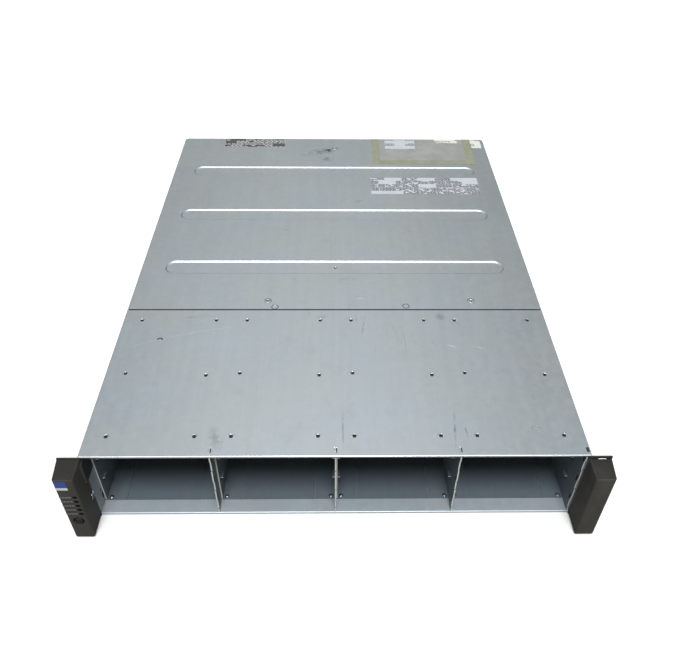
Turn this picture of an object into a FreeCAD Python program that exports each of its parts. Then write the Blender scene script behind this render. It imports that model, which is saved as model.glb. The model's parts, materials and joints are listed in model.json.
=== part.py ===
import FreeCAD
import Part
import math
import os

V = FreeCAD.Vector

# A two-unit rack storage array with empty drive bays, in millimetres.
# The origin is the centre of the underside, +X to the right seen from the front,
# +Y towards the rear, +Z up.

# Chassis envelope and sheet
RACK_WIDTH = 482.6
FLANGE_REACH = 17.3
CHASSIS_DEPTH = 600.0
CHASSIS_HEIGHT = 87.0
SHEET = 1.2
FIT = 0.1
FLOOR_HEM = 15.0
COVER_HEM = 4.0
COVER_EDGE_RADIUS = 0.9
SIDE_LEDGE = 8.0

# Top covers
SEAM_FROM_FRONT = 198.0
SEAM_GAP = 1.2
REAR_CORNER_RADIUS = 6.0
BEAD_COUNT = 3
BEAD_FROM_SEAM = 77.0
BEAD_FROM_REAR = 99.0
BEAD_END_MARGIN = 27.0
BEAD_WIDTH = 24.4
BEAD_SLOPE = 1.8
BEAD_DEPTH = 1.1
BEAD_HOLE_RADIUS = 1.6
COVER_SCREW_LEFT = -74.0
COVER_SCREW_RIGHT = 149.0

# Drive bays
BAY_PITCH = 110.0
OUTER_WALL_GAP = 2.0
CAGE_SEAM_GAP = 8.0
LEFT_WALL_SETBACK = 15.4
RIGHT_WALL_SETBACK = 0.8
WALL_FOOT = 20.0
JOINT_INSET = 16.3
JOINT_RADIUS = 1.7
JOINT_SIDES = 8
JOINT_FRONT = 22.7
JOINT_MIDDLE_LEFT = 101.6
JOINT_MIDDLE_RIGHT = 98.8
JOINT_REAR_INSET = 9.7
DRIVE_ROWS = 3
TAB_REACH = 2.4
TAB_LENGTH = 7.0
TAB_THICKNESS = 1.0
TAB_WINDOW = 3.0
TAB_FIRST = 24.2
TAB_LAST_INSET = 10.2
TAB_COLUMNS = 3
EDGE_NOTCH_DEPTH = 1.0
EDGE_NOTCH_RISE = 6.8
EDGE_NOTCH_HEIGHT = 13.3
LATCH_SLOT_INSET = 2.8
LATCH_SLOT_WIDTH = 2.4
LATCH_SLOT_RISE = 15.7
LATCH_SLOT_HEIGHT = 8.4
HOOK_INSET = 6.0
HOOK_LENGTH = 3.0
HOOK_DROP = 0.4
HOOK_NOTCH_MARGIN = 0.7

# Midplane
MIDPLANE_FROM_SEAM = 2.0
MIDPLANE_THICKNESS = 2.4
MIDPLANE_MARGIN = 3.0
MIDPLANE_STANDOFF = 3.6
FRAME_FOOT = 12.0
DRIVE_CONNECTOR_WIDTH = 44.0
DRIVE_CONNECTOR_HEIGHT = 8.0
DRIVE_CONNECTOR_DEPTH = 8.5
DRIVE_CONNECTOR_RISE = 5.0
DRIVE_SLOT_WIDTH = 36.0
DRIVE_SLOT_HEIGHT = 2.4
DRIVE_SLOT_DEPTH = 6.0
AIR_SLOT_MARGIN = 16.0
AIR_SLOT_HEIGHT = 7.0
AIR_SLOT_RISE = 16.5
SCREW_HEAD_RADIUS = 2.6
SCREW_HEAD_HEIGHT = 0.9
SCREW_SHANK_RADIUS = 1.4
STANDOFF_RADIUS = 2.8

# Rear module bays
PARTITION_FOOT = 9.0
MODULE_FROM_FRAME = 20.8
MODULE_PLAY = 0.8
MODULE_BED_GAP = 0.3
MODULE_HEADROOM = 2.5
PARTITION_LEAD = 6.0
BRACE_WIDTH = 22.0
BRACE_FROM_REAR = 30.6
BRACE_LIP = 1.0
SHELF_LIP = 6.0

# Rack brackets
RACK_HOLE_INSET = 8.75
RACK_HOLE_MARGIN = 5.4
RACK_SLOT_WIDTH = 6.8
RACK_SLOT_LENGTH = 10.4
BRACKET_SHEET = 1.6
BRACKET_LEG = 30.0
BRACKET_BEND = 1.5
BRACKET_FOOT_GAP = 0.3
BRACKET_LEG_MARGIN = 4.0

# Ear covers
EAR_DEPTH = 24.0
EAR_WALL = 1.8
EAR_DRAFT = 2.2
EAR_SEAT_GAP = 0.3
EAR_OUTER_RADIUS = 2.5
EAR_EDGE_CHAMFER = 0.9
EAR_SIDE_GAP = 0.4
EAR_FOOT_GAP = 0.8
LEFT_EAR_DROP = 0.5
RIGHT_EAR_DROP = 2.4
PEG_SIZE = 2.4
PEG_HEIGHT = 5.0
PEG_MARGIN = 12.0
PEG_INSET = 3.4

# Panel in the left ear
LIGHT_COUNT = 5
LIGHT_PITCH = 6.1
LIGHT_TOP = 62.4
LIGHT_INSET = 3.8
LIGHT_LENGTH = 3.2
LIGHT_WIDTH = 2.3
LIGHT_CORNER = 0.7
LIGHT_RECESS = 0.4
LIGHT_COLLAR = 0.6
LIGHT_STEM = 4.5
BUTTON_HEIGHT = 27.0
BUTTON_INSET = 8.4
BUTTON_RADIUS = 3.3
BUTTON_DISH_RADIUS = 5.2
BUTTON_DISH_DEPTH = 0.7
BUTTON_PROUD = 0.3
BUTTON_COLLAR = 1.0
BUTTON_TRAVEL = 1.1
BUTTON_GAP = 0.3
PANEL_STANDOFF = 9.0
PANEL_THICKNESS = 1.6
PANEL_WIDTH = 12.6
PANEL_BOTTOM = 16.0
PANEL_TOP = 70.0
PANEL_SCREW_INSET = 4.0
SWITCH_SIZE = 6.0
SWITCH_DEPTH = 3.6

# Power supplies
PSU_WIDTH = 102.6
PSU_SHEET = 1.0
FAN_SIZE = 60.0
FAN_THICKNESS = 20.0
FAN_RIM = 1.6
FAN_OFFSET = -16.0
FAN_TOP_MARGIN = 8.5
FAN_HUB_RADIUS = 12.0
FAN_BLADES = 7
FAN_BLADE_CHORD = 13.0
FAN_BLADE_THICKNESS = 1.2
FAN_BLADE_PITCH = 40.0
FAN_TIP_GAP = 1.0
FAN_SHAFT_RADIUS = 2.0
FAN_STRUT_DEPTH = 3.0
FAN_STRUT_WIDTH = 3.0
FAN_FACETS = 24
RUNNING_FIT = 0.06
PSU_VENT_COUNT = 6
PSU_VENT_PITCH = 13.0
PSU_VENT_WIDTH = 9.0
GRILLE_SLOTS = 9
GRILLE_BAR = 1.6
INLET_OFFSET = 33.5
INLET_LATCH_GAP = 0.25
INLET_WIDTH = 24.4
INLET_HEIGHT = 16.8
INLET_DEPTH = 17.0
INLET_CHAMFER = 4.6
INLET_WALL = 1.8
INLET_RIM = 1.8
INLET_FLANGE = 2.2
PIN_LENGTH = 11.0
PIN_WIDTH = 2.0
PIN_HEIGHT = 4.0
PIN_PITCH = 7.0
PIN_STAGGER = 2.0
ROCKER_RISE = 27.0
ROCKER_WIDTH = 13.0
ROCKER_LENGTH = 18.6
ROCKER_GAP = 0.8
ROCKER_TILT = 9.0
ROCKER_PIVOT_DEPTH = 2.0
ROCKER_CROWN = 4.4
ROCKER_EDGE = 3.0
ROCKER_BACK = 3.5
ROCKER_PIN_RADIUS = 1.2
HANDLE_STRAP = 3.0
HANDLE_WIDTH = 8.0
HANDLE_SPAN = 52.0
HANDLE_REACH = 28.0
HANDLE_BEND = 9.0
HANDLE_RISE = 6.5

# Controller modules
TRAY_SHEET = 1.2
TRAY_STANDOFF = 5.0
TRAY_STANDOFF_RADIUS = 3.0
CARD_THICKNESS = 1.6
CARD_MARGIN = 4.0
CARD_DOCK = 6.0
DOCK_WIDTH = 92.0
DOCK_HEIGHT = 12.0
DOCK_GAP = 0.4
PORT_WALL = 1.0
PORT_DEPTH = 18.0
PORT_PROUD = 0.8
PORTS = ((-46.0, 15.0, 13.0), (-24.0, 15.0, 13.0), (8.0, 25.0, 11.0), (40.0, 25.0, 11.0))
VENT_COUNT = 14
VENT_PITCH = 7.3
VENT_WIDTH = 3.6
VENT_HEIGHT = 8.0
VENT_DROP = 5.0
CHIP_SIZE = 31.0
CHIP_HEIGHT = 3.2
SINK_SIZE = 62.0
SINK_BASE = 4.0
SINK_FINS = 11
SINK_FIN = 1.4
SINK_HEIGHT = 20.0

# Ejector levers and supply latches
LEVER_PIVOT_INSET = 9.0
LEVER_STANDOFF = 7.5
LEVER_LENGTH = 38.0
LEVER_HEIGHT = 9.0
LEVER_THICKNESS = 4.4
LEVER_BARREL_RADIUS = 4.4
LEVER_LIP = 3.0
LEVER_FACETS = 16
LEVER_PIN_RADIUS = 1.5
LEVER_EAR = 1.2
LEVER_SIDE_GAP = 0.35
LATCH_LENGTH = 22.0
LATCH_DROP = 10.5

# Places worked out from the sizes above
FRONT = -CHASSIS_DEPTH / 2
REAR = CHASSIS_DEPTH / 2
CHASSIS_WIDTH = RACK_WIDTH - 2 * FLANGE_REACH
HALF_WIDTH = CHASSIS_WIDTH / 2
SIDE_INNER = HALF_WIDTH - SHEET
COVER_UNDER = CHASSIS_HEIGHT - SHEET
SEAM = FRONT + SEAM_FROM_FRONT
CAGE_END = SEAM - CAGE_SEAM_GAP
OUTER_WALL = SIDE_INNER - OUTER_WALL_GAP
BAY_EDGES = (-OUTER_WALL, -BAY_PITCH, 0.0, BAY_PITCH, OUTER_WALL)
BAYS = tuple(zip(BAY_EDGES[:-1], BAY_EDGES[1:]))
ROW_PITCH = (COVER_UNDER - SHEET) / DRIVE_ROWS
ROW_FLOORS = tuple(SHEET + row * ROW_PITCH for row in range(DRIVE_ROWS))
TAB_PITCH = (CAGE_END - TAB_LAST_INSET - FRONT - TAB_FIRST) / (TAB_COLUMNS - 1)
TAB_CENTRES = tuple(FRONT + TAB_FIRST + n * TAB_PITCH for n in range(TAB_COLUMNS))
JOINTS_LEFT = (FRONT + JOINT_FRONT, FRONT + JOINT_MIDDLE_LEFT, CAGE_END - JOINT_REAR_INSET)
JOINTS_RIGHT = (FRONT + JOINT_FRONT, FRONT + JOINT_MIDDLE_RIGHT, CAGE_END - JOINT_REAR_INSET)
BEAD_LENGTH = CHASSIS_WIDTH - 2 * BEAD_END_MARGIN
BEAD_FIRST = SEAM + BEAD_FROM_SEAM
BEAD_PITCH = (REAR - BEAD_FROM_REAR - BEAD_FIRST) / (BEAD_COUNT - 1)
BEAD_CENTRES = tuple(BEAD_FIRST + n * BEAD_PITCH for n in range(BEAD_COUNT))
FRAME_HALF = SIDE_INNER - 2 * BRACKET_SHEET
MIDPLANE = SEAM + MIDPLANE_FROM_SEAM
MIDPLANE_BACK = MIDPLANE + MIDPLANE_THICKNESS
MIDPLANE_TOP = COVER_UNDER - SHEET - MIDPLANE_MARGIN
FRAME_FRONT = MIDPLANE_BACK + MIDPLANE_STANDOFF
FRAME_BACK = FRAME_FRONT + SHEET
BRACE = REAR - BRACE_FROM_REAR
FRAME_SCREWS = tuple((x, FRAME_BACK + FRAME_FOOT / 2) for x in (COVER_SCREW_LEFT, COVER_SCREW_RIGHT))
BRACE_SCREW = (0.0, BRACE)
COVER_SCREWS = FRAME_SCREWS + (BRACE_SCREW,)

MODULE_FRONT = FRAME_BACK + MODULE_FROM_FRAME
MODULE_TOP = COVER_UNDER - BEAD_DEPTH - MODULE_HEADROOM
PARTITION_TOP = COVER_UNDER - max(BEAD_DEPTH, SHEET + BRACE_LIP) - MODULE_PLAY / 4
PARTITION_OUTER = SIDE_INNER - PSU_WIDTH - 2 * MODULE_PLAY
PARTITION_OFFSET = PARTITION_OUTER - SHEET
PSU_BOTTOM = 2 * SHEET + MODULE_BED_GAP
FAN_BORE_RADIUS = FAN_SIZE / 2 - FAN_RIM
PSU_CENTRES = {"left": -(SIDE_INNER + PARTITION_OUTER) / 2, "right": (SIDE_INNER + PARTITION_OUTER) / 2}
TRAY_BOTTOM_LOWER = SHEET + MODULE_BED_GAP
TRAY_HEIGHT = (MODULE_TOP - TRAY_BOTTOM_LOWER - MODULE_PLAY - SHEET - MODULE_BED_GAP) / 2
SHELF_BOTTOM = TRAY_BOTTOM_LOWER + TRAY_HEIGHT + MODULE_PLAY
TRAY_BOTTOMS = {"lower": TRAY_BOTTOM_LOWER, "upper": SHELF_BOTTOM + SHEET + MODULE_BED_GAP}
TRAY_HALF = PARTITION_OFFSET - SHEET - MODULE_PLAY
CARD_RISE = TRAY_SHEET + TRAY_STANDOFF
PORT_RISE = CARD_RISE + CARD_THICKNESS
LEVER_PIVOT = REAR + LEVER_STANDOFF

RACK_HALF = RACK_WIDTH / 2
RACK_HOLE_X = RACK_HALF - RACK_HOLE_INSET
RACK_HOLE_RISE = CHASSIS_HEIGHT - 2 * RACK_HOLE_MARGIN
BRACKET_INNER = SIDE_INNER - BRACKET_SHEET
BRACKET_FACE = FRONT - BRACKET_SHEET
MID_HEIGHT = CHASSIS_HEIGHT / 2
EAR_BACK = BRACKET_FACE - EAR_SEAT_GAP
EAR_FACE = FRONT - EAR_DEPTH
EAR_INNER = BRACKET_INNER + EAR_SIDE_GAP
PEG_HEIGHTS = (PEG_MARGIN, CHASSIS_HEIGHT - PEG_MARGIN)
PANEL_BACK = BRACKET_FACE - PANEL_STANDOFF
PANEL_FACE = PANEL_BACK - PANEL_THICKNESS
PANEL_INNER = EAR_INNER + EAR_WALL + EAR_SIDE_GAP
LIGHT_X = -(EAR_INNER + LIGHT_INSET)
LIGHT_HEIGHTS = tuple(LIGHT_TOP - n * LIGHT_PITCH for n in range(LIGHT_COUNT))
BUTTON_X = -(EAR_INNER + BUTTON_INSET)
SWITCH_FACE = PANEL_FACE - SWITCH_DEPTH
PANEL_SCREW_HEIGHTS = (PANEL_BOTTOM + PANEL_SCREW_INSET, PANEL_TOP - PANEL_SCREW_INSET)
PANEL_SCREWS = tuple((-(PANEL_INNER + PANEL_WIDTH / 2), z) for z in PANEL_SCREW_HEIGHTS)


def around(centre, size):
    """Limits of a length centred on a place."""
    return (centre - size / 2, centre + size / 2)


def toward(start, reach):
    """Limits from a place to a signed reach beyond it, in rising order."""
    return tuple(sorted((start, start + reach)))


def block(x, y, z):
    """Box between limits along the three axes."""
    return Part.makeBox(x[1] - x[0], y[1] - y[0], z[1] - z[0], V(x[0], y[0], z[0]))


def rod_x(x, y, z, radius):
    return Part.makeCylinder(radius, x[1] - x[0], V(x[0], y, z), V(1, 0, 0))


def rod_y(x, y, z, radius):
    return Part.makeCylinder(radius, y[1] - y[0], V(x, y[0], z), V(0, 1, 0))


def rod_z(x, y, z, radius):
    return Part.makeCylinder(radius, z[1] - z[0], V(x, y, z[0]), V(0, 0, 1))


def corners_round(u, w, radius, sides):
    """Corners of a regular outline about a point."""
    turn = 2 * math.pi / sides
    return [(u + radius * math.cos(n * turn), w + radius * math.sin(n * turn)) for n in range(sides)]


def facet_y(x, y, z, radius, sides=6):
    """Many-sided rod along Y, by the radius of its corners."""
    return prism_y(corners_round(x, z, radius, sides), y)


def facet_z(x, y, z, radius, sides=6):
    """Many-sided rod along Z, by the radius of its corners."""
    corners = [V(u, w, z[0]) for u, w in corners_round(x, y, radius, sides)]
    return Part.Face(Part.makePolygon(corners + corners[:1])).extrude(V(0, 0, z[1] - z[0]))


def cut(body, tools):
    tools = list(tools)
    return body.cut(tools) if tools else body


def join(shapes):
    shapes = list(shapes)
    return shapes[0].multiFuse(shapes[1:]).removeSplitter()


def mirrored(shape):
    return shape.mirror(V(0, 0, 0), V(1, 0, 0))


def stadium(length, width, z=0.0):
    """Closed outline with half-round ends along X, centred on the Z axis."""
    radius = width / 2
    straight = length / 2 - radius
    lower = Part.makeLine(V(-straight, -radius, z), V(straight, -radius, z))
    right = Part.Arc(V(straight, -radius, z), V(straight + radius, 0, z), V(straight, radius, z)).toShape()
    upper = Part.makeLine(V(straight, radius, z), V(-straight, radius, z))
    left = Part.Arc(V(-straight, radius, z), V(-straight - radius, 0, z), V(-straight, -radius, z)).toShape()
    return Part.Wire([lower, right, upper, left])


def stadium_y(x, y, z, length, width):
    """Bar of stadium section along Y, its long way along X."""
    bar = Part.Face(stadium(length, width)).extrude(V(0, 0, y[1] - y[0]))
    bar.rotate(V(0, 0, 0), V(1, 0, 0), -90)
    bar.translate(V(x, y[0], z))
    return bar


def prism_x(points, x):
    """Outline of (y, z) points swept between two limits of X."""
    corners = [V(x[0], y, z) for y, z in points]
    return Part.Face(Part.makePolygon(corners + corners[:1])).extrude(V(x[1] - x[0], 0, 0))


def prism_y(points, y):
    """Outline of (x, z) points swept between two limits of Y."""
    corners = [V(x, y[0], z) for x, z in points]
    return Part.Face(Part.makePolygon(corners + corners[:1])).extrude(V(0, y[1] - y[0], 0))


def edges_at(shape, test):
    """Edges whose middle passes a test."""
    return [edge for edge in shape.Edges if test(edge.CenterOfMass, edge)]


def runs_along(edge, axis):
    """Whether a straight edge runs along an axis."""
    if len(edge.Vertexes) != 2:
        return False
    span = edge.Vertexes[1].Point - edge.Vertexes[0].Point
    return span.Length > 0 and abs(span.dot(axis)) > 0.999 * span.Length


def close(a, b):
    return abs(a - b) < 1e-4


def hemmed_sheet(x, back, face, hem, inward):
    """Sheet whose front edge is folded flat onto its inner side, with a half-round nose."""
    nose = FRONT + SHEET
    inner = face + inward * SHEET
    fold = face + inward * 2 * SHEET
    edges = [
        Part.makeLine(V(x[0], back, face), V(x[0], nose, face)),
        Part.Arc(V(x[0], nose, face), V(x[0], FRONT, inner), V(x[0], nose, fold)).toShape(),
        Part.makeLine(V(x[0], nose, fold), V(x[0], FRONT + hem, fold)),
        Part.makeLine(V(x[0], FRONT + hem, fold), V(x[0], FRONT + hem, inner)),
        Part.makeLine(V(x[0], FRONT + hem, inner), V(x[0], back, inner)),
        Part.makeLine(V(x[0], back, inner), V(x[0], back, face)),
    ]
    return Part.Face(Part.Wire(edges)).extrude(V(x[1] - x[0], 0, 0))


def rounded_top_edges(cover):
    """Rounds the two long upper edges of a cover where it bends over the sides."""
    long_edges = edges_at(
        cover,
        lambda c, e: close(abs(c.x), HALF_WIDTH) and close(c.z, CHASSIS_HEIGHT) and runs_along(e, V(0, 1, 0)),
    )
    return cover.makeFillet(COVER_EDGE_RADIUS, long_edges)


def chassis_tub():
    floor = hemmed_sheet((-HALF_WIDTH, HALF_WIDTH), REAR, 0.0, FLOOR_HEM, 1)
    pieces = [floor]
    for side in (-1, 1):
        wall = toward(side * HALF_WIDTH, -side * SHEET)
        ledge = toward(side * HALF_WIDTH, -side * (SHEET + SIDE_LEDGE))
        pieces.append(block(wall, (FRONT, REAR), (0.0, COVER_UNDER)))
        ledge_y = (FRAME_BACK + FRAME_FOOT, BRACE - BRACE_WIDTH)
        pieces.append(block(ledge, ledge_y, (COVER_UNDER - SHEET, COVER_UNDER)))
    tub = join(pieces)
    hem_relief = block(
        (-HALF_WIDTH, HALF_WIDTH),
        (FRONT, FRONT + COVER_HEM + FIT),
        (COVER_UNDER - SHEET - FIT, COVER_UNDER),
    )
    return tub.cut(hem_relief)


def joint_holes(edge, inward, places, z):
    """Pits in the cover where it is clinched to a bay wall's upper foot."""
    return [facet_z(edge + inward * JOINT_INSET, y, z, JOINT_RADIUS, JOINT_SIDES) for y in places]


def front_top_cover():
    cover = hemmed_sheet((-HALF_WIDTH, HALF_WIDTH), SEAM - SEAM_GAP / 2, CHASSIS_HEIGHT, COVER_HEM, -1)
    cover = rounded_top_edges(cover)
    through = (COVER_UNDER - SHEET, CHASSIS_HEIGHT + SHEET)
    holes = []
    for left, right in BAYS:
        holes += joint_holes(left, 1, JOINTS_LEFT, through)
        holes += joint_holes(right, -1, JOINTS_RIGHT, through)
        notch_x = (right - SHEET - HOOK_NOTCH_MARGIN, right + HOOK_NOTCH_MARGIN)
        notch_y = around(FRONT + HOOK_INSET + HOOK_LENGTH / 2, HOOK_LENGTH + 2 * HOOK_NOTCH_MARGIN)
        holes.append(block(notch_x, notch_y, through))
    return cut(cover, holes)


def bead(y, length, width, top, depth):
    """Tapered stadium that forms one face of a pressed bead."""
    upper = stadium(length, width, top)
    lower = stadium(length - 2 * BEAD_SLOPE, width - 2 * BEAD_SLOPE, top - depth)
    form = Part.makeLoft([upper, lower], True, True)
    form.translate(V(0, y, 0))
    return form


def rear_top_cover():
    limits = (SEAM + SEAM_GAP / 2, REAR)
    cover = block((-HALF_WIDTH, HALF_WIDTH), limits, (COVER_UNDER, CHASSIS_HEIGHT))
    corners = edges_at(cover, lambda c, e: close(c.y, REAR) and runs_along(e, V(0, 0, 1)))
    cover = cover.makeFillet(REAR_CORNER_RADIUS, corners)
    cover = rounded_top_edges(cover)
    for y in BEAD_CENTRES:
        swell = bead(y, BEAD_LENGTH + SHEET, BEAD_WIDTH + SHEET, COVER_UNDER, BEAD_DEPTH)
        hollow = bead(y, BEAD_LENGTH, BEAD_WIDTH, CHASSIS_HEIGHT, BEAD_DEPTH)
        cover = cover.fuse(swell).cut(hollow)
    through = (COVER_UNDER - BEAD_DEPTH - SHEET, CHASSIS_HEIGHT + SHEET)
    holes = [rod_z(0.0, BEAD_CENTRES[0], through, BEAD_HOLE_RADIUS)]
    holes += [facet_z(x, y, through, SCREW_SHANK_RADIUS + FIT) for x, y in COVER_SCREWS]
    return cut(cover, holes)


def bay_wall(edge, inward, front):
    """Bay side wall: a web on the bay's edge, two feet turned into the bay, lanced guide tabs."""
    web_x = toward(edge, inward * SHEET)
    foot_x = toward(edge, inward * WALL_FOOT)
    foot_y = (max(front, FRONT + FLOOR_HEM + FIT), CAGE_END)
    web = block(web_x, (front, CAGE_END), (SHEET, COVER_UNDER))
    lower = block(foot_x, foot_y, (SHEET, 2 * SHEET))
    upper = block(foot_x, foot_y, (COVER_UNDER - SHEET, COVER_UNDER))
    pieces = [web, lower, upper]
    windows = []
    for y in TAB_CENTRES:
        for z in ROW_FLOORS[1:]:
            tab_z = around(z, TAB_THICKNESS)
            tab_y = around(y, TAB_LENGTH)
            pieces.append(block(toward(edge, inward * (SHEET + TAB_REACH)), tab_y, tab_z))
            windows.append(block(web_x, tab_y, (tab_z[0] - TAB_WINDOW, tab_z[0])))
    return cut(join(pieces), windows)


def right_bay_wall(edge):
    """The bay wall that reaches the front edge, with its notched edge, latch slots and hook."""
    front = FRONT + RIGHT_WALL_SETBACK
    wall = bay_wall(edge, -1, front)
    web_x = toward(edge, -SHEET)
    hook_y = toward(FRONT + HOOK_INSET, HOOK_LENGTH)
    wall = join([wall, block(web_x, hook_y, (COVER_UNDER - SHEET, CHASSIS_HEIGHT - HOOK_DROP))])
    cuts = [
        block(web_x, (FRONT, FRONT + FLOOR_HEM + FIT), (0.0, 2 * SHEET + FIT)),
        block(web_x, (FRONT, FRONT + COVER_HEM + FIT), (COVER_UNDER - SHEET - FIT, CHASSIS_HEIGHT)),
    ]
    for z in ROW_FLOORS:
        notch_y = (FRONT, front + EDGE_NOTCH_DEPTH)
        cuts.append(block(web_x, notch_y, toward(z + EDGE_NOTCH_RISE, EDGE_NOTCH_HEIGHT)))
        slot_y = toward(FRONT + LATCH_SLOT_INSET, LATCH_SLOT_WIDTH)
        cuts.append(block(web_x, slot_y, toward(z + LATCH_SLOT_RISE, LATCH_SLOT_HEIGHT)))
    return cut(wall, cuts)


def midplane_screw_places():
    """Places of the midplane's screws: beside each bay's air slots, on the side away from the middle."""
    for left, right in BAYS:
        middle = (left + right) / 2
        outer = (right - left) / 2 - AIR_SLOT_MARGIN + 2 * STANDOFF_RADIUS
        x = middle + math.copysign(outer, middle)
        yield x, SHEET + 2 * STANDOFF_RADIUS
        yield x, MIDPLANE_TOP - 2 * STANDOFF_RADIUS


def midplane_board():
    board = block(
        (-FRAME_HALF + MIDPLANE_MARGIN, FRAME_HALF - MIDPLANE_MARGIN),
        (MIDPLANE, MIDPLANE_BACK),
        (SHEET + FIT, MIDPLANE_TOP),
    )
    through = (MIDPLANE - SHEET, MIDPLANE_BACK + SHEET)
    holes = [facet_y(x, through, z, SCREW_SHANK_RADIUS + FIT) for x, z in midplane_screw_places()]
    for left, right in BAYS:
        for z in ROW_FLOORS:
            slot = toward(z + AIR_SLOT_RISE, AIR_SLOT_HEIGHT)
            holes.append(block((left + AIR_SLOT_MARGIN, right - AIR_SLOT_MARGIN), through, slot))
    return cut(board, holes)


def drive_connectors():
    connectors = []
    for left, right in BAYS:
        for z in ROW_FLOORS:
            x = (left + right) / 2
            body_z = toward(z + DRIVE_CONNECTOR_RISE, DRIVE_CONNECTOR_HEIGHT)
            face = MIDPLANE - DRIVE_CONNECTOR_DEPTH
            body = block(around(x, DRIVE_CONNECTOR_WIDTH), (face, MIDPLANE), body_z)
            slot_y = toward(face, DRIVE_SLOT_DEPTH)
            slot_z = around(sum(body_z) / 2, DRIVE_SLOT_HEIGHT)
            connectors.append(body.cut(block(around(x, DRIVE_SLOT_WIDTH), slot_y, slot_z)))
    return Part.makeCompound(connectors)


def card_height(bottom):
    """Limits of a controller card above its tray's underside."""
    return toward(bottom + CARD_RISE, CARD_THICKNESS)


def module_connectors():
    """Connectors on the midplane's rear face: one at each supply, one slotted for each controller card."""
    card_front = MODULE_FRONT - CARD_DOCK
    connectors = []
    for x in PSU_CENTRES.values():
        reach = (MIDPLANE_BACK, MODULE_FRONT + CARD_DOCK)
        connectors.append(block(around(x, DOCK_WIDTH / 2), reach, around(MID_HEIGHT, DOCK_HEIGHT)))
    for bottom in TRAY_BOTTOMS.values():
        card_z = card_height(bottom)
        height = around(sum(card_z) / 2, DOCK_HEIGHT - 2 * SHEET)
        body = block(around(0.0, DOCK_WIDTH), (MIDPLANE_BACK, MODULE_FRONT - 2 * MODULE_PLAY), height)
        slot_z = (card_z[0] - DOCK_GAP, card_z[1] + DOCK_GAP)
        slot_x = around(0.0, DOCK_WIDTH - 2 * CARD_MARGIN)
        connectors.append(body.cut(block(slot_x, (card_front - DOCK_GAP, MODULE_FRONT), slot_z)))
    return Part.makeCompound(connectors)


def midplane_frame():
    """Sheet frame behind the midplane, open at the rear modules, with feet at floor and cover."""
    plate = block((-FRAME_HALF, FRAME_HALF), (FRAME_FRONT, FRAME_BACK), (SHEET, COVER_UNDER))
    feet_y = (FRAME_FRONT, FRAME_BACK + FRAME_FOOT)
    lower = block((-FRAME_HALF, FRAME_HALF), feet_y, (SHEET, 2 * SHEET))
    upper = block((-FRAME_HALF, FRAME_HALF), feet_y, (COVER_UNDER - SHEET, COVER_UNDER))
    through = (FRAME_FRONT - SHEET, FRAME_BACK + SHEET)
    height = around(MID_HEIGHT, CHASSIS_HEIGHT - 3 * FRAME_FOOT)
    openings = [block(around(x, PSU_WIDTH - 2 * FRAME_FOOT), through, height) for x in PSU_CENTRES.values()]
    for bottom in TRAY_BOTTOMS.values():
        middle = sum(card_height(bottom)) / 2
        openings.append(block(around(0.0, DOCK_WIDTH + FRAME_FOOT), through, around(middle, DOCK_HEIGHT)))
    screws = (COVER_UNDER - 2 * SHEET, CHASSIS_HEIGHT)
    openings += [facet_z(x, y, screws, SCREW_SHANK_RADIUS + FIT) for x, y in FRAME_SCREWS]
    return cut(join([plate, lower, upper]), openings)


def board_screws():
    """Screws with spacers: the midplane's onto its frame, the panel board's onto the left bracket."""
    screws = []
    for x, z in midplane_screw_places():
        head = facet_y(x, (MIDPLANE - SCREW_HEAD_HEIGHT, MIDPLANE), z, SCREW_HEAD_RADIUS)
        shank = facet_y(x, (MIDPLANE, MIDPLANE_BACK), z, SCREW_SHANK_RADIUS)
        spacer = facet_y(x, (MIDPLANE_BACK, FRAME_FRONT), z, STANDOFF_RADIUS)
        screws.append(join([head, shank, spacer]))
    for x, z in PANEL_SCREWS:
        head = facet_y(x, (PANEL_FACE - SCREW_HEAD_HEIGHT, PANEL_FACE), z, SCREW_HEAD_RADIUS)
        shank = facet_y(x, (PANEL_FACE, PANEL_BACK), z, SCREW_SHANK_RADIUS)
        spacer = facet_y(x, (PANEL_BACK, BRACKET_FACE), z, STANDOFF_RADIUS)
        screws.append(join([head, shank, spacer]))
    return Part.makeCompound(screws)


def partition(side):
    """Wall between a supply's bay and the controllers' bay, with a foot on the floor."""
    limits = (MODULE_FRONT - PARTITION_LEAD, REAR)
    web = block(toward(side * PARTITION_OFFSET, side * SHEET), limits, (SHEET, PARTITION_TOP))
    foot = block(toward(side * PARTITION_OFFSET, side * PARTITION_FOOT), limits, (SHEET, 2 * SHEET))
    return join([web, foot])


def canister_shelf():
    """Shelf between the two controllers, its lips turned down against the partitions."""
    limits = (MODULE_FRONT, REAR)
    plate = block((-PARTITION_OFFSET, PARTITION_OFFSET), limits, toward(SHELF_BOTTOM, SHEET))
    lip_z = (SHELF_BOTTOM - SHELF_LIP, SHELF_BOTTOM)
    lips = [block(toward(side * PARTITION_OFFSET, -side * SHEET), limits, lip_z) for side in (-1, 1)]
    return join([plate] + lips)


def rear_brace():
    """Cross strip under the rear cover, from side to side, with two stiffening lips."""
    reach = (-SIDE_INNER, SIDE_INNER)
    strip = block(reach, around(BRACE, BRACE_WIDTH), (COVER_UNDER - SHEET, COVER_UNDER))
    lip_z = (COVER_UNDER - SHEET - BRACE_LIP, COVER_UNDER)
    lips = [block(reach, around(BRACE + side * (BRACE_WIDTH - SHEET) / 2, SHEET), lip_z) for side in (-1, 1)]
    x, y = BRACE_SCREW
    hole = facet_z(x, y, (COVER_UNDER - 2 * SHEET, CHASSIS_HEIGHT), SCREW_SHANK_RADIUS + FIT)
    return join([strip] + lips).cut(hole)


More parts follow.
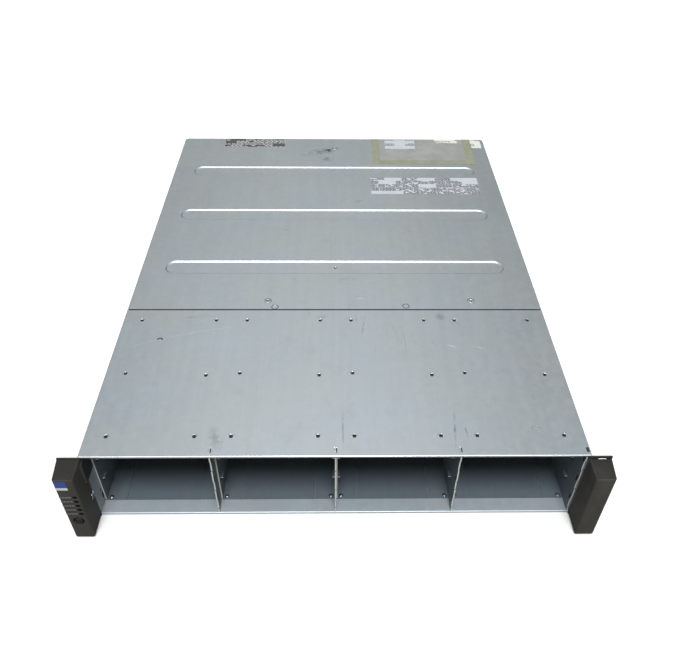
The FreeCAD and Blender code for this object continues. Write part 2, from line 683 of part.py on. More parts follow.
def cover_screws():
    screws = []
    for x, y in COVER_SCREWS:
        head_z = toward(CHASSIS_HEIGHT, SCREW_HEAD_HEIGHT)
        head = facet_z(x, y, head_z, SCREW_HEAD_RADIUS, LEVER_FACETS)
        shank = facet_z(x, y, (COVER_UNDER - SHEET, CHASSIS_HEIGHT), SCREW_SHANK_RADIUS)
        screws.append(join([head, shank]))
    return Part.makeCompound(screws)


def rack_bracket():
    """Right-hand angle bracket: a leg inside the chassis side and a slotted rack flange."""
    leg_z = (BRACKET_LEG_MARGIN, COVER_UNDER - BRACKET_LEG_MARGIN)
    leg = block((BRACKET_INNER, SIDE_INNER), (BRACKET_FACE, FRONT + BRACKET_LEG), leg_z)
    flange_z = (BRACKET_FOOT_GAP, CHASSIS_HEIGHT)
    flange = block((BRACKET_INNER, RACK_HALF), (BRACKET_FACE, FRONT), flange_z)
    body = join([flange, leg])
    bend = edges_at(body, lambda c, e: close(c.x, BRACKET_INNER) and close(c.y, BRACKET_FACE))
    body = body.makeFillet(BRACKET_BEND, bend)
    through = (BRACKET_FACE - SHEET, FRONT + SHEET)
    holes = []
    for side in (-1, 1):
        z = MID_HEIGHT + side * RACK_HOLE_RISE / 2
        holes.append(stadium_y(RACK_HOLE_X, through, z, RACK_SLOT_LENGTH, RACK_SLOT_WIDTH))
    for z in PEG_HEIGHTS:
        peg_x = (EAR_INNER + PEG_INSET - EAR_SEAT_GAP, EAR_INNER + PEG_INSET + PEG_SIZE + EAR_SEAT_GAP)
        holes.append(block(peg_x, through, around(z, PEG_HEIGHT + 2 * EAR_SEAT_GAP)))
    return cut(body, holes)


def ear_outline(inset, back):
    """Corners of an ear cover's section in plan, drafted towards its face."""
    face = EAR_FACE + inset
    return [
        V(EAR_INNER + inset, back, 0),
        V(EAR_INNER + inset, face, 0),
        V(RACK_HALF - EAR_DRAFT - inset, face, 0),
        V(RACK_HALF - inset, back, 0),
    ]


def ear_prism(inset, back, z):
    corners = ear_outline(inset, back)
    form = Part.Face(Part.makePolygon(corners + corners[:1])).extrude(V(0, 0, z[1] - z[0]))
    form.translate(V(0, 0, z[0]))
    return form


def ear_shell(drop):
    """Right-hand ear cover: a drafted cap with eased edges, open at the back, with two pegs."""
    limits = (EAR_FOOT_GAP, CHASSIS_HEIGHT - drop)
    cap = ear_prism(0.0, EAR_BACK, limits)
    upright = edges_at(cap, lambda c, e: runs_along(e, V(0, 0, 1)) and close(c.y, EAR_FACE))
    outer = [edge for edge in upright if not close(edge.CenterOfMass.x, EAR_INNER)]
    cap = cap.makeFillet(EAR_OUTER_RADIUS, outer)
    rims = edges_at(cap, lambda c, e: close(c.z, limits[0]) or close(c.z, limits[1]))
    rims = [edge for edge in rims if edge.CenterOfMass.y < EAR_BACK - SHEET]
    upright = edges_at(cap, lambda c, e: runs_along(e, V(0, 0, 1)) and close(c.y, EAR_FACE))
    rims += [edge for edge in upright if close(edge.CenterOfMass.x, EAR_INNER)]
    cap = cap.makeChamfer(EAR_EDGE_CHAMFER, rims)
    hollow = ear_prism(EAR_WALL, EAR_BACK + SHEET, (limits[0] + EAR_WALL, limits[1] - EAR_WALL))
    pegs = []
    for z in PEG_HEIGHTS:
        root = (EAR_INNER + EAR_WALL / 2, EAR_INNER + PEG_INSET + PEG_SIZE)
        pegs.append(block(root, (EAR_BACK - PEG_HEIGHT, EAR_BACK), around(z, PEG_HEIGHT)))
        tip = (EAR_INNER + PEG_INSET, EAR_INNER + PEG_INSET + PEG_SIZE)
        pegs.append(block(tip, (EAR_BACK, FRONT - EAR_SEAT_GAP), around(z, PEG_HEIGHT)))
    return join([cap.cut(hollow)] + pegs)


def light_bar(y, z, inset):
    """Bar of an indicator window's section: a rectangle with its corners cut off."""
    half = LIGHT_LENGTH / 2 - inset
    rise = LIGHT_WIDTH / 2 - inset
    flat = half - LIGHT_CORNER
    side = rise - LIGHT_CORNER
    right = [(flat, -rise), (half, -side), (half, side), (flat, rise)]
    left = [(-u, -w) for u, w in right]
    return prism_y([(LIGHT_X + u, z + w) for u, w in right + left], y)


def left_ear_cover():
    shell = mirrored(ear_shell(LEFT_EAR_DROP))
    through = (EAR_FACE - SHEET, EAR_FACE + EAR_WALL + SHEET)
    holes = [light_bar(through, z, 0.0) for z in LIGHT_HEIGHTS]
    holes.append(rod_y(BUTTON_X, through, BUTTON_HEIGHT, BUTTON_RADIUS + BUTTON_GAP))
    dish_y = (EAR_FACE - SHEET, EAR_FACE + BUTTON_DISH_DEPTH)
    holes.append(rod_y(BUTTON_X, dish_y, BUTTON_HEIGHT, BUTTON_DISH_RADIUS))
    return cut(shell, holes)


def status_lights():
    """Light pipes in the left ear's windows, each with a collar behind the wall."""
    pipes = []
    for z in LIGHT_HEIGHTS:
        lens = light_bar((EAR_FACE + LIGHT_RECESS, EAR_FACE + EAR_WALL), z, FIT)
        collar_y = toward(EAR_FACE + EAR_WALL, LIGHT_COLLAR)
        collar_z = around(z, LIGHT_WIDTH + LIGHT_COLLAR)
        collar = block(around(LIGHT_X, LIGHT_LENGTH + LIGHT_COLLAR), collar_y, collar_z)
        stem = block(around(LIGHT_X, LIGHT_WIDTH), toward(collar_y[1], LIGHT_STEM), around(z, LIGHT_WIDTH))
        pipes.append(join([lens, collar, stem]))
    return Part.makeCompound(pipes)


def power_button():
    collar_front = EAR_FACE + EAR_WALL + BUTTON_GAP
    cap = rod_y(BUTTON_X, (EAR_FACE - BUTTON_PROUD, collar_front), BUTTON_HEIGHT, BUTTON_RADIUS)
    collar_y = toward(collar_front, BUTTON_COLLAR)
    collar = facet_y(BUTTON_X, collar_y, BUTTON_HEIGHT, BUTTON_RADIUS + 3 * BUTTON_GAP, LEVER_FACETS)
    stem_y = (collar_front, SWITCH_FACE - BUTTON_TRAVEL - BUTTON_GAP)
    stem = block(around(BUTTON_X, BUTTON_RADIUS), stem_y, around(BUTTON_HEIGHT, BUTTON_RADIUS))
    return join([cap, collar, stem])


def panel_board():
    """Board behind the left ear cover, on spacers, with its lamps and the button's switch."""
    board_x = (-(PANEL_INNER + PANEL_WIDTH), -PANEL_INNER)
    board = block(board_x, (PANEL_FACE, PANEL_BACK), (PANEL_BOTTOM, PANEL_TOP))
    through = (PANEL_FACE - SHEET, PANEL_BACK + SHEET)
    holes = [facet_y(x, through, z, SCREW_SHANK_RADIUS + FIT) for x, z in PANEL_SCREWS]
    pieces = [cut(board, holes)]
    lamp_y = (PANEL_FACE - LIGHT_WIDTH / 2, PANEL_FACE)
    for z in LIGHT_HEIGHTS:
        pieces.append(block(around(LIGHT_X, LIGHT_WIDTH), lamp_y, around(z, LIGHT_WIDTH)))
    switch_z = around(BUTTON_HEIGHT, SWITCH_SIZE)
    pieces.append(block(around(BUTTON_X, SWITCH_SIZE), (SWITCH_FACE, PANEL_FACE), switch_z))
    return Part.makeCompound(pieces)


def lever(x, z, sign, length):
    """Lever on an upright pin: a barrel, a flat bar and a finger lip at its end."""
    height = around(z, LEVER_HEIGHT)
    barrel = facet_z(x, LEVER_PIVOT, height, LEVER_BARREL_RADIUS, LEVER_FACETS)
    bar = block(toward(x, sign * length), around(LEVER_PIVOT, LEVER_THICKNESS), height)
    lip_y = toward(LEVER_PIVOT - LEVER_THICKNESS / 2, LEVER_THICKNESS + LEVER_LIP)
    lip = block(toward(x + sign * length, -sign * LEVER_LIP), lip_y, height)
    body = join([barrel, bar, lip])
    return body.cut(rod_z(x, LEVER_PIVOT, height, LEVER_PIN_RADIUS + RUNNING_FIT))


def lever_ears(x, z):
    """Two ears on a module's face and the pin between them that carries a lever."""
    gap = LEVER_HEIGHT / 2 + LEVER_SIDE_GAP
    pieces = [rod_z(x, LEVER_PIVOT, around(z, 2 * gap + LEVER_EAR), LEVER_PIN_RADIUS)]
    for limits in (toward(z + gap, LEVER_EAR), toward(z - gap, -LEVER_EAR)):
        reach = (REAR - PSU_SHEET / 2, LEVER_PIVOT + LEVER_BARREL_RADIUS)
        pieces.append(block(around(x, 2 * LEVER_BARREL_RADIUS), reach, limits))
    return join(pieces)


def fan_place(centre):
    return centre + FAN_OFFSET, MODULE_TOP - FAN_TOP_MARGIN - FAN_SIZE / 2


def latch_place(centre):
    return centre + PSU_WIDTH / 2 - LEVER_PIVOT_INSET, MODULE_TOP - LATCH_DROP


def inlet_place(centre):
    """Centre of the mains inlet, set below the latch by the rocker and the block's rim."""
    rim_top = latch_place(centre)[1] - LEVER_HEIGHT / 2 - LEVER_SIDE_GAP - LEVER_EAR - INLET_LATCH_GAP
    rocker = rim_top - INLET_RIM - INLET_WALL - ROCKER_GAP - ROCKER_LENGTH / 2
    return centre + INLET_OFFSET, rocker - ROCKER_RISE


def inlet_block_limits(centre):
    """Outer limits of the moulded inlet and rocker block, in X and Z."""
    x, z = inlet_place(centre)
    half_width = INLET_WIDTH / 2 + INLET_WALL
    low = z - INLET_HEIGHT / 2 - INLET_WALL
    high = z + ROCKER_RISE + ROCKER_LENGTH / 2 + ROCKER_GAP + INLET_WALL
    return (x - half_width, x + half_width), (low, high)


def fan_grille(x, y, z):
    """Level slots across the fan's circle, each as long as the circle is wide there."""
    pitch = 2 * FAN_BORE_RADIUS / GRILLE_SLOTS
    slots = []
    for n in range(GRILLE_SLOTS):
        offset = (n - (GRILLE_SLOTS - 1) / 2) * pitch
        half = math.sqrt(FAN_BORE_RADIUS**2 - (abs(offset) + pitch / 4) ** 2)
        slots.append(block(around(x, 2 * half), y, around(z + offset, pitch - GRILLE_BAR)))
    return slots


def psu_case(centre):
    """Supply case: a closed sheet box with fan, inlet and docking openings and the latch's ears."""
    x = around(centre, PSU_WIDTH)
    outer = block(x, (MODULE_FRONT, REAR), (PSU_BOTTOM, MODULE_TOP))
    inner = block(
        (x[0] + PSU_SHEET, x[1] - PSU_SHEET),
        (MODULE_FRONT + PSU_SHEET, REAR - PSU_SHEET),
        (PSU_BOTTOM + PSU_SHEET, MODULE_TOP - PSU_SHEET),
    )
    fan_x, fan_z = fan_place(centre)
    rear = (REAR - 2 * PSU_SHEET, REAR + PSU_SHEET)
    inlet_x, inlet_z = inlet_block_limits(centre)
    inlet = block((inlet_x[0] - FIT, inlet_x[1] + FIT), rear, (inlet_z[0] - FIT, inlet_z[1] + FIT))
    front = (MODULE_FRONT - PSU_SHEET, MODULE_FRONT + 2 * PSU_SHEET)
    dock = block(
        around(centre, DOCK_WIDTH / 2 + 4 * MODULE_PLAY),
        front,
        around(MID_HEIGHT, DOCK_HEIGHT + 4 * MODULE_PLAY),
    )
    openings = [inner, inlet, dock] + fan_grille(fan_x, rear, fan_z)
    vent_z = toward(MODULE_TOP - VENT_DROP, -2 * VENT_HEIGHT)
    for n in range(PSU_VENT_COUNT):
        vent_x = around(centre + (n - (PSU_VENT_COUNT - 1) / 2) * PSU_VENT_PITCH, PSU_VENT_WIDTH)
        openings.append(block(vent_x, front, vent_z))
    latch_x, latch_z = latch_place(centre)
    return join([cut(outer, openings), lever_ears(latch_x, latch_z)])


def fan_frame(centre):
    """Square fan frame with a round duct, a motor plate on struts and the rotor's shaft."""
    x, z = fan_place(centre)
    back = REAR - PSU_SHEET
    front = back - FAN_THICKNESS
    frame = block(around(x, FAN_SIZE), (front, back), around(z, FAN_SIZE))
    frame = frame.cut(facet_y(x, (front, back), z, FAN_BORE_RADIUS, FAN_FACETS))
    strut_y = toward(front, FAN_STRUT_DEPTH)
    plate = facet_y(x, strut_y, z, FAN_HUB_RADIUS, FAN_FACETS)
    struts = [
        block(around(x, 2 * FAN_BORE_RADIUS + FAN_STRUT_WIDTH), strut_y, around(z, FAN_STRUT_WIDTH)),
        block(around(x, FAN_STRUT_WIDTH), strut_y, around(z, 2 * FAN_BORE_RADIUS + FAN_STRUT_WIDTH)),
    ]
    shaft = rod_y(x, (strut_y[1], back - 2 * FAN_STRUT_DEPTH), z, FAN_SHAFT_RADIUS)
    return join([frame, plate, shaft] + struts)


def fan_rotor(centre):
    """Fan hub with flat blades pitched to the air stream."""
    x, z = fan_place(centre)
    back = REAR - PSU_SHEET
    limits = (back - FAN_THICKNESS + FAN_STRUT_DEPTH + FAN_TIP_GAP, back - FAN_STRUT_DEPTH)
    middle = sum(limits) / 2
    tip = FAN_BORE_RADIUS - 2 * FAN_TIP_GAP - FAN_BLADE_CHORD / FAN_BLADES
    hub = facet_y(x, limits, z, FAN_HUB_RADIUS, FAN_FACETS)
    blades = []
    for n in range(FAN_BLADES):
        blade_z = around(0.0, FAN_BLADE_THICKNESS)
        blade = block((FAN_HUB_RADIUS / 2, tip), around(0.0, FAN_BLADE_CHORD), blade_z)
        blade.rotate(V(0, 0, 0), V(1, 0, 0), FAN_BLADE_PITCH)
        blade.rotate(V(0, 0, 0), V(0, 1, 0), 360.0 * n / FAN_BLADES)
        blade.translate(V(x, middle, z))
        blades.append(blade)
    body = join([hub] + blades)
    bore_y = (limits[0], back - 2 * FAN_STRUT_DEPTH + FAN_TIP_GAP)
    return body.cut(rod_y(x, bore_y, z, FAN_SHAFT_RADIUS + RUNNING_FIT))


def inlet_outline(x, z):
    """Mains inlet mouth: a rectangle with its two upper corners cut off."""
    half = INLET_WIDTH / 2
    low = z - INLET_HEIGHT / 2
    high = z + INLET_HEIGHT / 2
    return [
        (x - half, low),
        (x + half, low),
        (x + half, high - INLET_CHAMFER),
        (x + half - INLET_CHAMFER, high),
        (x - half + INLET_CHAMFER, high),
        (x - half, high - INLET_CHAMFER),
    ]


def psu_inlet(centre):
    """Moulded block with the mains inlet, its three pins and the rocker's well and pivot."""
    x, z = inlet_place(centre)
    block_x, block_z = inlet_block_limits(centre)
    face = REAR + INLET_FLANGE
    depth = INLET_DEPTH + INLET_WALL
    body = block(block_x, (face - depth, REAR), block_z)
    rim = block(
        (block_x[0] - INLET_RIM, block_x[1] + INLET_RIM),
        (REAR, face),
        (block_z[0] - INLET_RIM, block_z[1] + INLET_RIM),
    )
    mouth = prism_y(inlet_outline(x, z), (face - INLET_DEPTH, face))
    rocker_z = z + ROCKER_RISE
    well = block(
        around(x, ROCKER_WIDTH + 2 * ROCKER_GAP),
        (face - INLET_DEPTH, face),
        around(rocker_z, ROCKER_LENGTH + 2 * ROCKER_GAP),
    )
    pins = []
    for n in (-1, 0, 1):
        pin_z = z - PIN_STAGGER + (0.0 if n else 2 * PIN_STAGGER)
        pin_y = toward(face - INLET_DEPTH - INLET_WALL / 2, PIN_LENGTH + INLET_WALL / 2)
        pins.append(block(around(x + n * PIN_PITCH, PIN_WIDTH), pin_y, around(pin_z, PIN_HEIGHT)))
    pivot = rod_x(block_x, face - ROCKER_PIVOT_DEPTH - INLET_FLANGE, rocker_z, ROCKER_PIN_RADIUS)
    return join([join([body, rim]).cut([mouth, well])] + pins + [pivot])


def psu_rocker(centre):
    """Rocker with a shallow ridge, tipped to one of its two settings."""
    x, z = inlet_place(centre)
    pivot_y = REAR - ROCKER_PIVOT_DEPTH
    pivot_z = z + ROCKER_RISE
    half = ROCKER_LENGTH / 2
    outline = [
        (ROCKER_EDGE, half),
        (ROCKER_CROWN, 0.0),
        (ROCKER_EDGE, -half),
        (-ROCKER_BACK, ROCKER_EDGE - half),
        (-ROCKER_BACK, half - ROCKER_EDGE),
    ]
    form = prism_x([(pivot_y + y, pivot_z + w) for y, w in outline], around(x, ROCKER_WIDTH))
    form = form.cut(rod_x(around(x, ROCKER_WIDTH), pivot_y, pivot_z, ROCKER_PIN_RADIUS + RUNNING_FIT))
    form.rotate(V(x, pivot_y, pivot_z), V(1, 0, 0), ROCKER_TILT)
    return form


def strap_outline(half, out, bend):
    """Path of a strap in plan, square to a face, with two round bends."""
    mid = bend * (1 - math.sqrt(0.5))
    return [
        Part.makeLine(V(-half, 0, 0), V(-half, out - bend, 0)),
        Part.Arc(V(-half, out - bend, 0), V(-half + mid, out - mid, 0), V(-half + bend, out, 0)).toShape(),
        Part.makeLine(V(-half + bend, out, 0), V(half - bend, out, 0)),
        Part.Arc(V(half - bend, out, 0), V(half - mid, out - mid, 0), V(half, out - bend, 0)).toShape(),
        Part.makeLine(V(half, out - bend, 0), V(half, 0, 0)),
        Part.makeLine(V(half, 0, 0), V(-half, 0, 0)),
    ]


def psu_handle(centre):
    """Bent strap handle under the fan, its two ends flat on the supply's face."""
    half = HANDLE_SPAN / 2
    rise = V(0, 0, HANDLE_WIDTH)
    outer = strap_outline(half, HANDLE_REACH, HANDLE_BEND)
    inner = strap_outline(half - HANDLE_STRAP, HANDLE_REACH - HANDLE_STRAP, HANDLE_BEND - HANDLE_STRAP)
    strap = Part.Face(Part.Wire(outer)).extrude(rise).cut(Part.Face(Part.Wire(inner)).extrude(rise))
    strap.translate(V(fan_place(centre)[0], REAR, PSU_BOTTOM + HANDLE_RISE - HANDLE_WIDTH / 2))
    return strap


def tray_lever_places():
    return ((-1, -(TRAY_HALF - LEVER_PIVOT_INSET)), (1, TRAY_HALF - LEVER_PIVOT_INSET))


def card_standoff_places():
    for x in (-TRAY_HALF / 2, TRAY_HALF / 2):
        for y in (MODULE_FRONT + FRAME_FOOT, (MODULE_FRONT + REAR) / 2, REAR - 2 * FRAME_FOOT):
            yield x, y


def canister_tray(bottom):
    """Controller tray: floor, sides and a vented face with port openings and lever ears."""
    top = bottom + TRAY_HEIGHT
    outer = block((-TRAY_HALF, TRAY_HALF), (MODULE_FRONT, REAR), (bottom, top))
    inner = block(
        (-TRAY_HALF + TRAY_SHEET, TRAY_HALF - TRAY_SHEET),
        (MODULE_FRONT - TRAY_SHEET, REAR - TRAY_SHEET),
        (bottom + TRAY_SHEET, top + TRAY_SHEET),
    )
    through = (REAR - 2 * TRAY_SHEET, REAR + TRAY_SHEET)
    openings = [inner]
    for x, width, height in PORTS:
        limits = (bottom + PORT_RISE - FIT, bottom + PORT_RISE + height + FIT)
        openings.append(block(around(x, width + 2 * FIT), through, limits))
    vent_z = toward(top - VENT_DROP, -VENT_HEIGHT)
    for n in range(VENT_COUNT):
        openings.append(block(around((n - (VENT_COUNT - 1) / 2) * VENT_PITCH, VENT_WIDTH), through, vent_z))
    pieces = [cut(outer, openings)]
    for x, y in card_standoff_places():
        pieces.append(facet_z(x, y, (bottom + TRAY_SHEET / 2, bottom + CARD_RISE), TRAY_STANDOFF_RADIUS))
    for side, x in tray_lever_places():
        pieces.append(lever_ears(x, (bottom + top) / 2))
    return join(pieces)


def canister_board(bottom):
    """Controller card with a docking tongue, two chips and a memory module."""
    card_z = card_height(bottom)
    half = TRAY_HALF - TRAY_SHEET - CARD_MARGIN
    card = block((-half, half), (MODULE_FRONT + CARD_MARGIN, REAR - TRAY_SHEET - FIT), card_z)
    tongue_x = around(0.0, DOCK_WIDTH - 2 * CARD_MARGIN - 2 * DOCK_GAP)
    tongue = block(tongue_x, (MODULE_FRONT - CARD_DOCK, MODULE_FRONT + 2 * CARD_MARGIN), card_z)
    pieces = [join([card, tongue])]
    centre = (MODULE_FRONT + REAR) / 2
    for x in (-SINK_SIZE, SINK_SIZE):
        chip_z = toward(card_z[1], CHIP_HEIGHT)
        pieces.append(block(around(x, CHIP_SIZE), around(centre, CHIP_SIZE), chip_z))
    memory_y = around(centre - SINK_SIZE, 3 * CARD_THICKNESS)
    pieces.append(block(around(0.0, 2 * SINK_SIZE), memory_y, toward(card_z[1], SINK_HEIGHT)))
    return Part.makeCompound(pieces)


def canister_heatsink(bottom):
    """Finned heat sink extruded along the air flow."""
    base = card_height(bottom)[1]
    centre = (MODULE_FRONT + REAR) / 2
    pieces = [block(around(0.0, SINK_SIZE), around(centre, SINK_SIZE), toward(base, SINK_BASE))]
    pitch = (SINK_SIZE - SINK_FIN) / (SINK_FINS - 1)
    for n in range(SINK_FINS):
        fin_x = toward(-SINK_SIZE / 2 + n * pitch, SINK_FIN)
        pieces.append(block(fin_x, around(centre, SINK_SIZE), (base, base + SINK_HEIGHT)))
    return join(pieces)


def canister_ports(bottom):
    """Port shells standing on the card and reaching through the face, closed at the inner end."""
    ports = []
    for x, width, height in PORTS:
        z = toward(bottom + PORT_RISE, height)
        y = (REAR - PORT_DEPTH, REAR + PORT_PROUD)
        shell = block(around(x, width), y, z)
        mouth = block(
            around(x, width - 2 * PORT_WALL),
            (y[0] + PORT_WALL, y[1] + PORT_WALL),
            (z[0] + PORT_WALL, z[1] - PORT_WALL),
        )
        ports.append(shell.cut(mouth))
    return Part.makeCompound(ports)


def chassis_nodes():
    yield "chassis_tub", chassis_tub()
    yield "front_top_cover", front_top_cover()
    yield "rear_top_cover", rear_top_cover()
    for number, (left, right) in enumerate(BAYS, 1):
        yield f"bay_{number}_left_wall", bay_wall(left, 1, FRONT + LEFT_WALL_SETBACK)
        yield f"bay_{number}_right_wall", right_bay_wall(right)
    yield "midplane_board", midplane_board()
    yield "midplane_frame", midplane_frame()
    yield "board_screws", board_screws()
    yield "drive_connectors", drive_connectors()
    yield "module_connectors", module_connectors()
    yield "left_partition", partition(-1)
    yield "right_partition", partition(1)
    yield "canister_shelf", canister_shelf()
    yield "rear_brace", rear_brace()
    yield "cover_screws", cover_screws()
    yield "left_rack_bracket", mirrored(rack_bracket())
    yield "right_rack_bracket", rack_bracket()


def ear_nodes():
    yield "left_ear_cover", left_ear_cover()
    yield "right_ear_cover", ear_shell(RIGHT_EAR_DROP)
    yield "status_lights", status_lights()
    yield "power_button", power_button()
    yield "panel_board", panel_board()


def psu_nodes():
    for side, centre in PSU_CENTRES.items():
        latch_x, latch_z = latch_place(centre)
        yield f"{side}_psu_case", psu_case(centre)
        yield f"{side}_psu_fan_frame", fan_frame(centre)
        yield f"{side}_psu_fan_rotor", fan_rotor(centre)
        yield f"{side}_psu_inlet", psu_inlet(centre)
        yield f"{side}_psu_rocker", psu_rocker(centre)
        yield f"{side}_psu_handle", psu_handle(centre)
        yield f"{side}_psu_latch", lever(latch_x, latch_z, -1, LATCH_LENGTH)


def canister_nodes():
    for level, bottom in TRAY_BOTTOMS.items():
        middle = bottom + TRAY_HEIGHT / 2
        yield f"{level}_canister_tray", canister_tray(bottom)
        yield f"{level}_canister_board", canister_board(bottom)
        yield f"{level}_canister_heatsink", canister_heatsink(bottom)
        yield f"{level}_canister_ports", canister_ports(bottom)
        for side, x in tray_lever_places():
            name = "left" if side < 0 else "right"
            yield f"{level}_canister_{name}_lever", lever(x, middle, -side, LEVER_LENGTH)


os.makedirs("parts", exist_ok=True)
for nodes in (chassis_nodes, ear_nodes, psu_nodes, canister_nodes):
    for name, shape in nodes():
        shape.exportStep(f"parts/{name}.step")
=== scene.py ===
import json
import math
from functools import partial

import bmesh
import bpy
from bpy.props import FloatProperty, FloatVectorProperty, IntProperty, PointerProperty
from mathutils import Matrix, Vector


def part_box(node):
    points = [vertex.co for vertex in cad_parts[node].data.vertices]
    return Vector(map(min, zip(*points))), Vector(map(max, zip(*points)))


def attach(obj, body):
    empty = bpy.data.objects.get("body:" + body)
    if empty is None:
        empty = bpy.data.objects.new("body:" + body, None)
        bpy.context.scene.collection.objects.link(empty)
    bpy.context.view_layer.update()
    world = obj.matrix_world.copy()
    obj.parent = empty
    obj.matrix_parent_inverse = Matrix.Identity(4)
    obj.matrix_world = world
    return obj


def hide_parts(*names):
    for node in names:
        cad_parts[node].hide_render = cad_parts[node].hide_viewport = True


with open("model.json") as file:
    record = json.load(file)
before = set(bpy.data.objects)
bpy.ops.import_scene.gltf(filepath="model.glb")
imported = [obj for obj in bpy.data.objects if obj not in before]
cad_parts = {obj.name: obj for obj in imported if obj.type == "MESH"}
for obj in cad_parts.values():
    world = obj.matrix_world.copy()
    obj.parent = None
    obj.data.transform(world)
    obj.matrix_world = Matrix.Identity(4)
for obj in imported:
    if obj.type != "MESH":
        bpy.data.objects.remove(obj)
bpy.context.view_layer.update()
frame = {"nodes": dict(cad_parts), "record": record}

bl_info = {
    "name": "Rack Storage Array",
    "version": (1, 0, 0),
    "blender": (4, 5, 0),
    "location": "View3D > Sidebar > Array",
    "description": "Finishes, fittings and stage for a rack storage array with empty drive bays",
    "category": "Object",
}

MM = 0.001

# Places and shapes are in millimetres up to set_piece, and patterns up to the shader nodes


def box(node):
    """A node's lowest and highest corners."""
    return [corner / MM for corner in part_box(node)]


def centre(node):
    """The middle of a node's box."""
    low, high = box(node)
    return (low + high) / 2


# Places read from the solids
COVER_LOW, COVER_HIGH = box("front_top_cover")
REAR_COVER_LOW, REAR_COVER_HIGH = box("rear_top_cover")
WALL_LOW, WALL_HIGH = box("bay_1_left_wall")
FRONT = COVER_LOW.y
REAR = box("chassis_tub")[1].y
TOP = COVER_HIGH.z
SEAM = (COVER_HIGH.y + REAR_COVER_LOW.y) / 2
BAYS = [(box(f"bay_{n}_left_wall")[0].x, box(f"bay_{n}_right_wall")[1].x) for n in range(1, 5)]
CAGE_END = WALL_HIGH.y
FLOOR_SHEET = WALL_LOW.z
FOOT_TOP = 2 * FLOOR_SHEET
FOOT_WIDTH = WALL_HIGH.x - WALL_LOW.x

# Places that the solids hold but their boxes do not show: from the front edge, or over the floor
BEAD_DEPTH = 1.1
LEFT_WALL_SETBACK = 15.4
LATCH_SLOT = 4.0
LATCH_SLOT_ROWS = (21.1, 49.3, 77.5)
TAB_COLUMNS = (24.2, 102.0, 179.8)
TAB_WINDOW_ROWS = (27.4, 55.6)
LAMP_PITCH = 6.1
LAMP_HEIGHT = 2.9
LEVER_FACE = 9.7  # behind the rear

SIDES = ("left", "right")
LEVELS = ("lower", "upper")
ORIGIN = (0.0, 0.0, 0.0)
TO_FRONT = (0, -1, 0)
TO_REAR = (0, 1, 0)
MERGE = 1e-4  # points closer than this are one
SHARP = math.radians(32)  # edges steeper than this look sharp
THROUGH = 1000.0  # depth of a mark along the axis that it goes through


def on_cover(x, y, lift=0.0):
    """Point on the covers by its distances from the centreline and from the front edge."""
    return x, FRONT + y, TOP + lift


# Shader nodes


class Value:
    """A shader socket that takes part in Python arithmetic."""

    def __init__(self, paint, socket):
        self.paint = paint
        self.socket = socket

    def math(self, operation, first, second=0.0):
        return self.paint.node("Math", {"operation": operation}, {0: first, 1: second})

    def __add__(self, other):
        return self.math("ADD", self, other)

    def __sub__(self, other):
        return self.math("SUBTRACT", self, other)

    def __rsub__(self, other):
        return self.math("SUBTRACT", other, self)

    def __mul__(self, other):
        return self.math("MULTIPLY", self, other)

    def __abs__(self):
        return self.math("ABSOLUTE", self)

    __radd__ = __add__
    __rmul__ = __mul__


